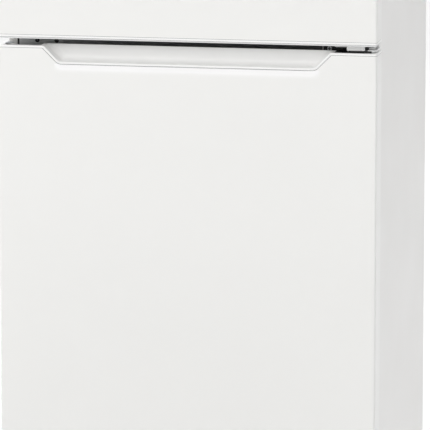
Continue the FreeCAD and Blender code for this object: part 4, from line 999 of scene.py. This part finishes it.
def back_details():
    """Screws round the back panel, foam filler caps and a blank data plate."""
    rear = box_mm("outer_wrap")[1].y
    screws = Piece("back_screws", "zinc_steel", CABINET)
    rows, lowest, highest = 6, 290, 1380
    for i in range(rows):
        z = lowest + i * (highest - lowest) / (rows - 1)
        for x in (-259, 259):
            screw_head(screws, (x, rear, z), BACKWARD)
    for x in (-150, 0, 150):
        screw_head(screws, (x, rear, 1412), BACKWARD)
    screws.done()
    sheet = box_mm("back_panel")[1].y - 2.2
    fillers = Piece("foam_filler_caps", "trim", CABINET)
    cap = [(1, -0.5), (11, -0.3), (11.5, 0.8), (9, 1.9), (3, 1.5), (0.5, 1.5)]
    for z in (262, 1396):
        for x in (-130, 130):
            fillers.turned(cap, (x, sheet, z), axis=BACKWARD, steps=36)
    fillers.done()
    plate = Piece("data_plate", "silver", CABINET)
    plate.block((-45, sheet - 0.2, 1315), (45, sheet + 0.6, 1372), 0.25, 2).done()


def compressor_details():
    """Weld bead round the can's seam, and a blank plate."""
    centre = Vector((40, 182))
    reach = Vector((83, 73))
    seam_z, bead_radius, sunk, corner, sides = 139.2, 1.5, 0.8, 63, 8
    bead = Piece("compressor_weld", "can_paint", CABINET)
    random.seed(4)
    rings = []
    for a, b in rounded_loop(centre - reach, centre + reach, corner, 24):
        outward = (Vector((a, b)) - centre).normalized()
        swell = bead_radius * random.uniform(0.85, 1.15)
        ring = []
        for k in range(sides):
            t = 2 * math.pi * k / sides
            spot = Vector((a, b)) + outward * (swell * math.cos(t) - sunk)
            ring.append(bead.vertex((spot.x, spot.y, seam_z + swell * math.sin(t))))
        rings.append(ring)
    bead.skin(rings, closed_path=True).done(sharp=80)
    plate = Piece("compressor_plate_blank", "silver", CABINET)
    plate.block((22, 251.5, 150), (58, 252.6, 176), 0.3, 2).done()


def pipe_details():
    """Brazed joints where the pipes meet, and a foam sleeve on the suction line."""
    joints = Piece("brazed_joints", "solder", CABINET)
    outline = [(0.7, -3), (0.9, -2), (1.08, -0.5), (1.08, 1.5), (0.9, 3), (0.7, 4)]
    for place, axis, radius in (
        ((-41.5, 176, 106), (-1, 0, 0), 3.4), ((-41.5, 190, 160), (-1, 0, 0), 4.2),
        ((-41.5, 162, 92), (-1, 0, 0), 4.2), ((205, 232, 86), UP, 3.6),
        ((205, 232, 196), UP, 3.0), ((-224, 272, 233), UP, 3.4),
    ):
        joints.turned([(share * radius, h) for share, h in outline], place, axis=axis, steps=20)
    joints.done(sharp=80)
    outline = [(3.4, 0), (8.2, 0.4), (8.6, 2), (8.6, 56), (8.2, 57.6), (3.4, 58)]
    Piece("suction_sleeve", "sleeve", CABINET).turned(outline, (-96, 232, 181), steps=28).done()


def wiring():
    """Leads from the starter cover to the compartment wall, their grommet and tie, and the earth lead."""
    lead_radius = 1.5
    top, entry, tie_at = Vector((140, 200, 125.5)), Vector((214, 104, 200)), Vector((190, 150, 176))
    for name, finish, shift in (
        ("lead_brown", "brown_wire", -4), ("lead_blue", "blue_wire", 0), ("lead_black", "black_plastic", 4),
    ):
        off = Vector((shift, 0, 0))
        route = [
            top + off, top + off + Vector((0, 0, 16)), Vector((158, 186, 158)) + off, tie_at + off * 0.6,
            Vector((212, 122, 196)) + off * 0.5, entry + off * 0.5 + Vector((0, -3, 0)),
        ]
        Piece(name, finish, CABINET).tube(route, lead_radius).done(sharp=80)
    boot = Piece("wire_grommet", "rubber", CABINET)
    outline = [(3, 0), (9, 0.2), (9.6, 2.2), (7.0, 3.4), (5.2, 8), (3.6, 9)]
    boot.turned(outline, (entry.x, 100.2, entry.z), axis=BACKWARD, steps=28).done(sharp=60)
    route = [
        (152, 212, 126), (152, 213, 136), (176, 222, 120), (184, 226, 70), (180, 214, 36), (176, 200, 32.5),
    ]
    Piece("lead_earth", "earth_wire", CABINET).tube(route, lead_radius).done(sharp=80)
    tag = Piece("earth_screw", "zinc_steel", CABINET)
    tag.turned([(2, -0.2), (6, -0.1), (6, 0.9), (2.5, 1.0)], (172, 194, 30), steps=28)
    screw_head(tag, (172, 194, 31), UP, 4.2)
    tag.done()
    band = [(6.6, -1.6), (7.4, -1.6), (7.4, 1.6), (6.6, 1.6)]
    Piece("lead_tie", "trim", CABINET).turned(band, tie_at, axis=(0.7, -0.65, 0.4), steps=24).done()


def relay_clip():
    """Spring clip over the starter cover."""
    low, high = box_mm("relay_box")
    clip = Piece("relay_clip", "zinc_steel", CABINET)
    clip.block((high.x - 26, low.y + 16, high.z - 1.5), (high.x - 14, high.y - 30, high.z + 0.9), 0.4, 2)
    clip.block((high.x - 0.2, low.y + 24, low.z + 8), (high.x + 1, low.y + 36, high.z + 0.4), 0.4, 2)
    clip.done()


def foot_details():
    """A nut and a ring of grip ridges on each levelling foot."""
    nut_outline = [(5.1, 8.0), (8.4, 8.0), (8.9, 8.5), (8.9, 11.6), (8.4, 12.1), (5.1, 12.1)]
    ridge = [(0.2, -2.2), (0.9, -1.8), (0.9, 1.6), (0.2, 2.0)]
    count, circle, middle_z = 28, 19.6, 3.2
    for name in ("left", "right"):
        low, high = box_mm(f"foot_{name}")
        x, y = (low.x + high.x) / 2, (low.y + high.y) / 2
        body = f"foot_{name}_body"
        nut = Piece(f"foot_nut_{name}", "zinc_steel", body).turned(nut_outline, (x, y, 0), steps=6)
        nut.done(sharp=20)
        ridges = Piece(f"foot_ridges_{name}", "grey_plastic", body)
        for i in range(count):
            a = 2 * math.pi * i / count
            ridges.turned(ridge, (x + circle * math.cos(a), y + circle * math.sin(a), middle_z), steps=8)
        ridges.done(sharp=60)


# ---- stage, light and camera, in metres
def stage():
    """A wide pale floor."""
    reach = 40.0
    corners = [(-reach, -reach, 0), (reach, -reach, 0), (reach, reach, 0), (-reach, reach, 0)]
    mesh = bpy.data.meshes.new("floor")
    mesh.from_pydata(corners, [], [(0, 1, 2, 3)])
    mesh.materials.append(pale_floor())
    placed("floor", mesh)


def area_light(name, place, target, size, power, tint=(1, 1, 1)):
    """A rectangular light at place that faces target."""
    data = bpy.data.lights.new(name, "AREA")
    data.shape = "RECTANGLE"
    data.size, data.size_y = size
    data.energy = power
    data.color = tint
    lamp = placed(name, data)
    lamp.location = place
    lamp.rotation_euler = (Vector(target) - Vector(place)).to_track_quat("-Z", "Y").to_euler()


def studio_world():
    """White surroundings that fade from the left to the right."""
    strength_left, strength_right = 0.62, 0.32
    world = bpy.data.worlds.new("studio")
    world.use_nodes = True
    nodes, join = world.node_tree.nodes, world.node_tree.links.new
    background = nodes["Background"]
    background.inputs["Color"].default_value = (1.0, 1.0, 1.0, 1.0)
    toward = nodes.new("ShaderNodeTexCoord").outputs["Generated"]
    split = nodes.new("ShaderNodeSeparateXYZ")
    join(toward, split.inputs[0])
    fade = nodes.new("ShaderNodeMapRange")
    ends = {"From Min": -1.0, "From Max": 1.0, "To Min": strength_left, "To Max": strength_right}
    for socket, value in ends.items():
        fade.inputs[socket].default_value = value
    join(split.outputs["X"], fade.inputs["Value"])
    join(fade.outputs[0], background.inputs["Strength"])
    bpy.context.scene.world = world


def lights():
    """A large key from the front left, a fill from behind and a soft sun from the front and above."""
    studio_world()
    area_light("key", (-0.9, -3.6, 3.6), (0, 0, 1.1), (3.2, 1.6), 66, (1.0, 0.99, 0.98))
    area_light("back_fill", (-2.5, 4.5, 3.0), (0, 0, 0.8), (3.0, 2.5), 50)
    sun = bpy.data.lights.new("overhead", "SUN")
    sun.energy = 2.1
    sun.angle = math.radians(25)
    placed("overhead", sun).rotation_euler = (math.radians(-45), 0, 0)


def camera():
    """The photograph's viewing angle: from the right and above, through a long lens."""
    data = bpy.data.cameras.new("camera")
    data.lens = 376.7
    data.sensor_width = 36.0
    data.clip_start, data.clip_end = 0.1, 200.0
    turned, tilted = math.radians(10.331), math.radians(10.100)
    made = placed("camera", data)
    made.location = (1.159, -6.416, 1.872)
    made.rotation_euler = (math.pi / 2 - tilted, 0, turned)
    bpy.context.scene.camera = made


# ---- assembly
def build():
    """Paints the CAD nodes and makes every piece, the stage, the lights and the camera."""
    paint_cad_nodes()
    for body, name in ((FREEZER_DOOR, "freezer_seal"), (FRIDGE_DOOR, "fridge_seal")):
        door_gasket(f"{body}_gasket", body, name)
    for i in (1, 2, 3):
        bin_details(f"fridge_bin_{i}", FRIDGE_DOOR)
    for i in (1, 2):
        bin_details(f"freezer_bin_{i}", FREEZER_DOOR)
    for make in (
        egg_tray, top_hole_plugs, rail_end_details, pin_plugs, seam_strips, rolled_skin, grip_seam,
        edge_strip, hinge_pads, hinge_screw_details, hinge_bushes, crisper_details, console_details,
        duct_border, ice_tray, freezer_cover_details, back_details, compressor_details, pipe_details,
        wiring, relay_clip, foot_details, stage, lights, camera,
    ):
        make()
    bpy.context.scene.view_settings.view_transform = "Standard"


build()
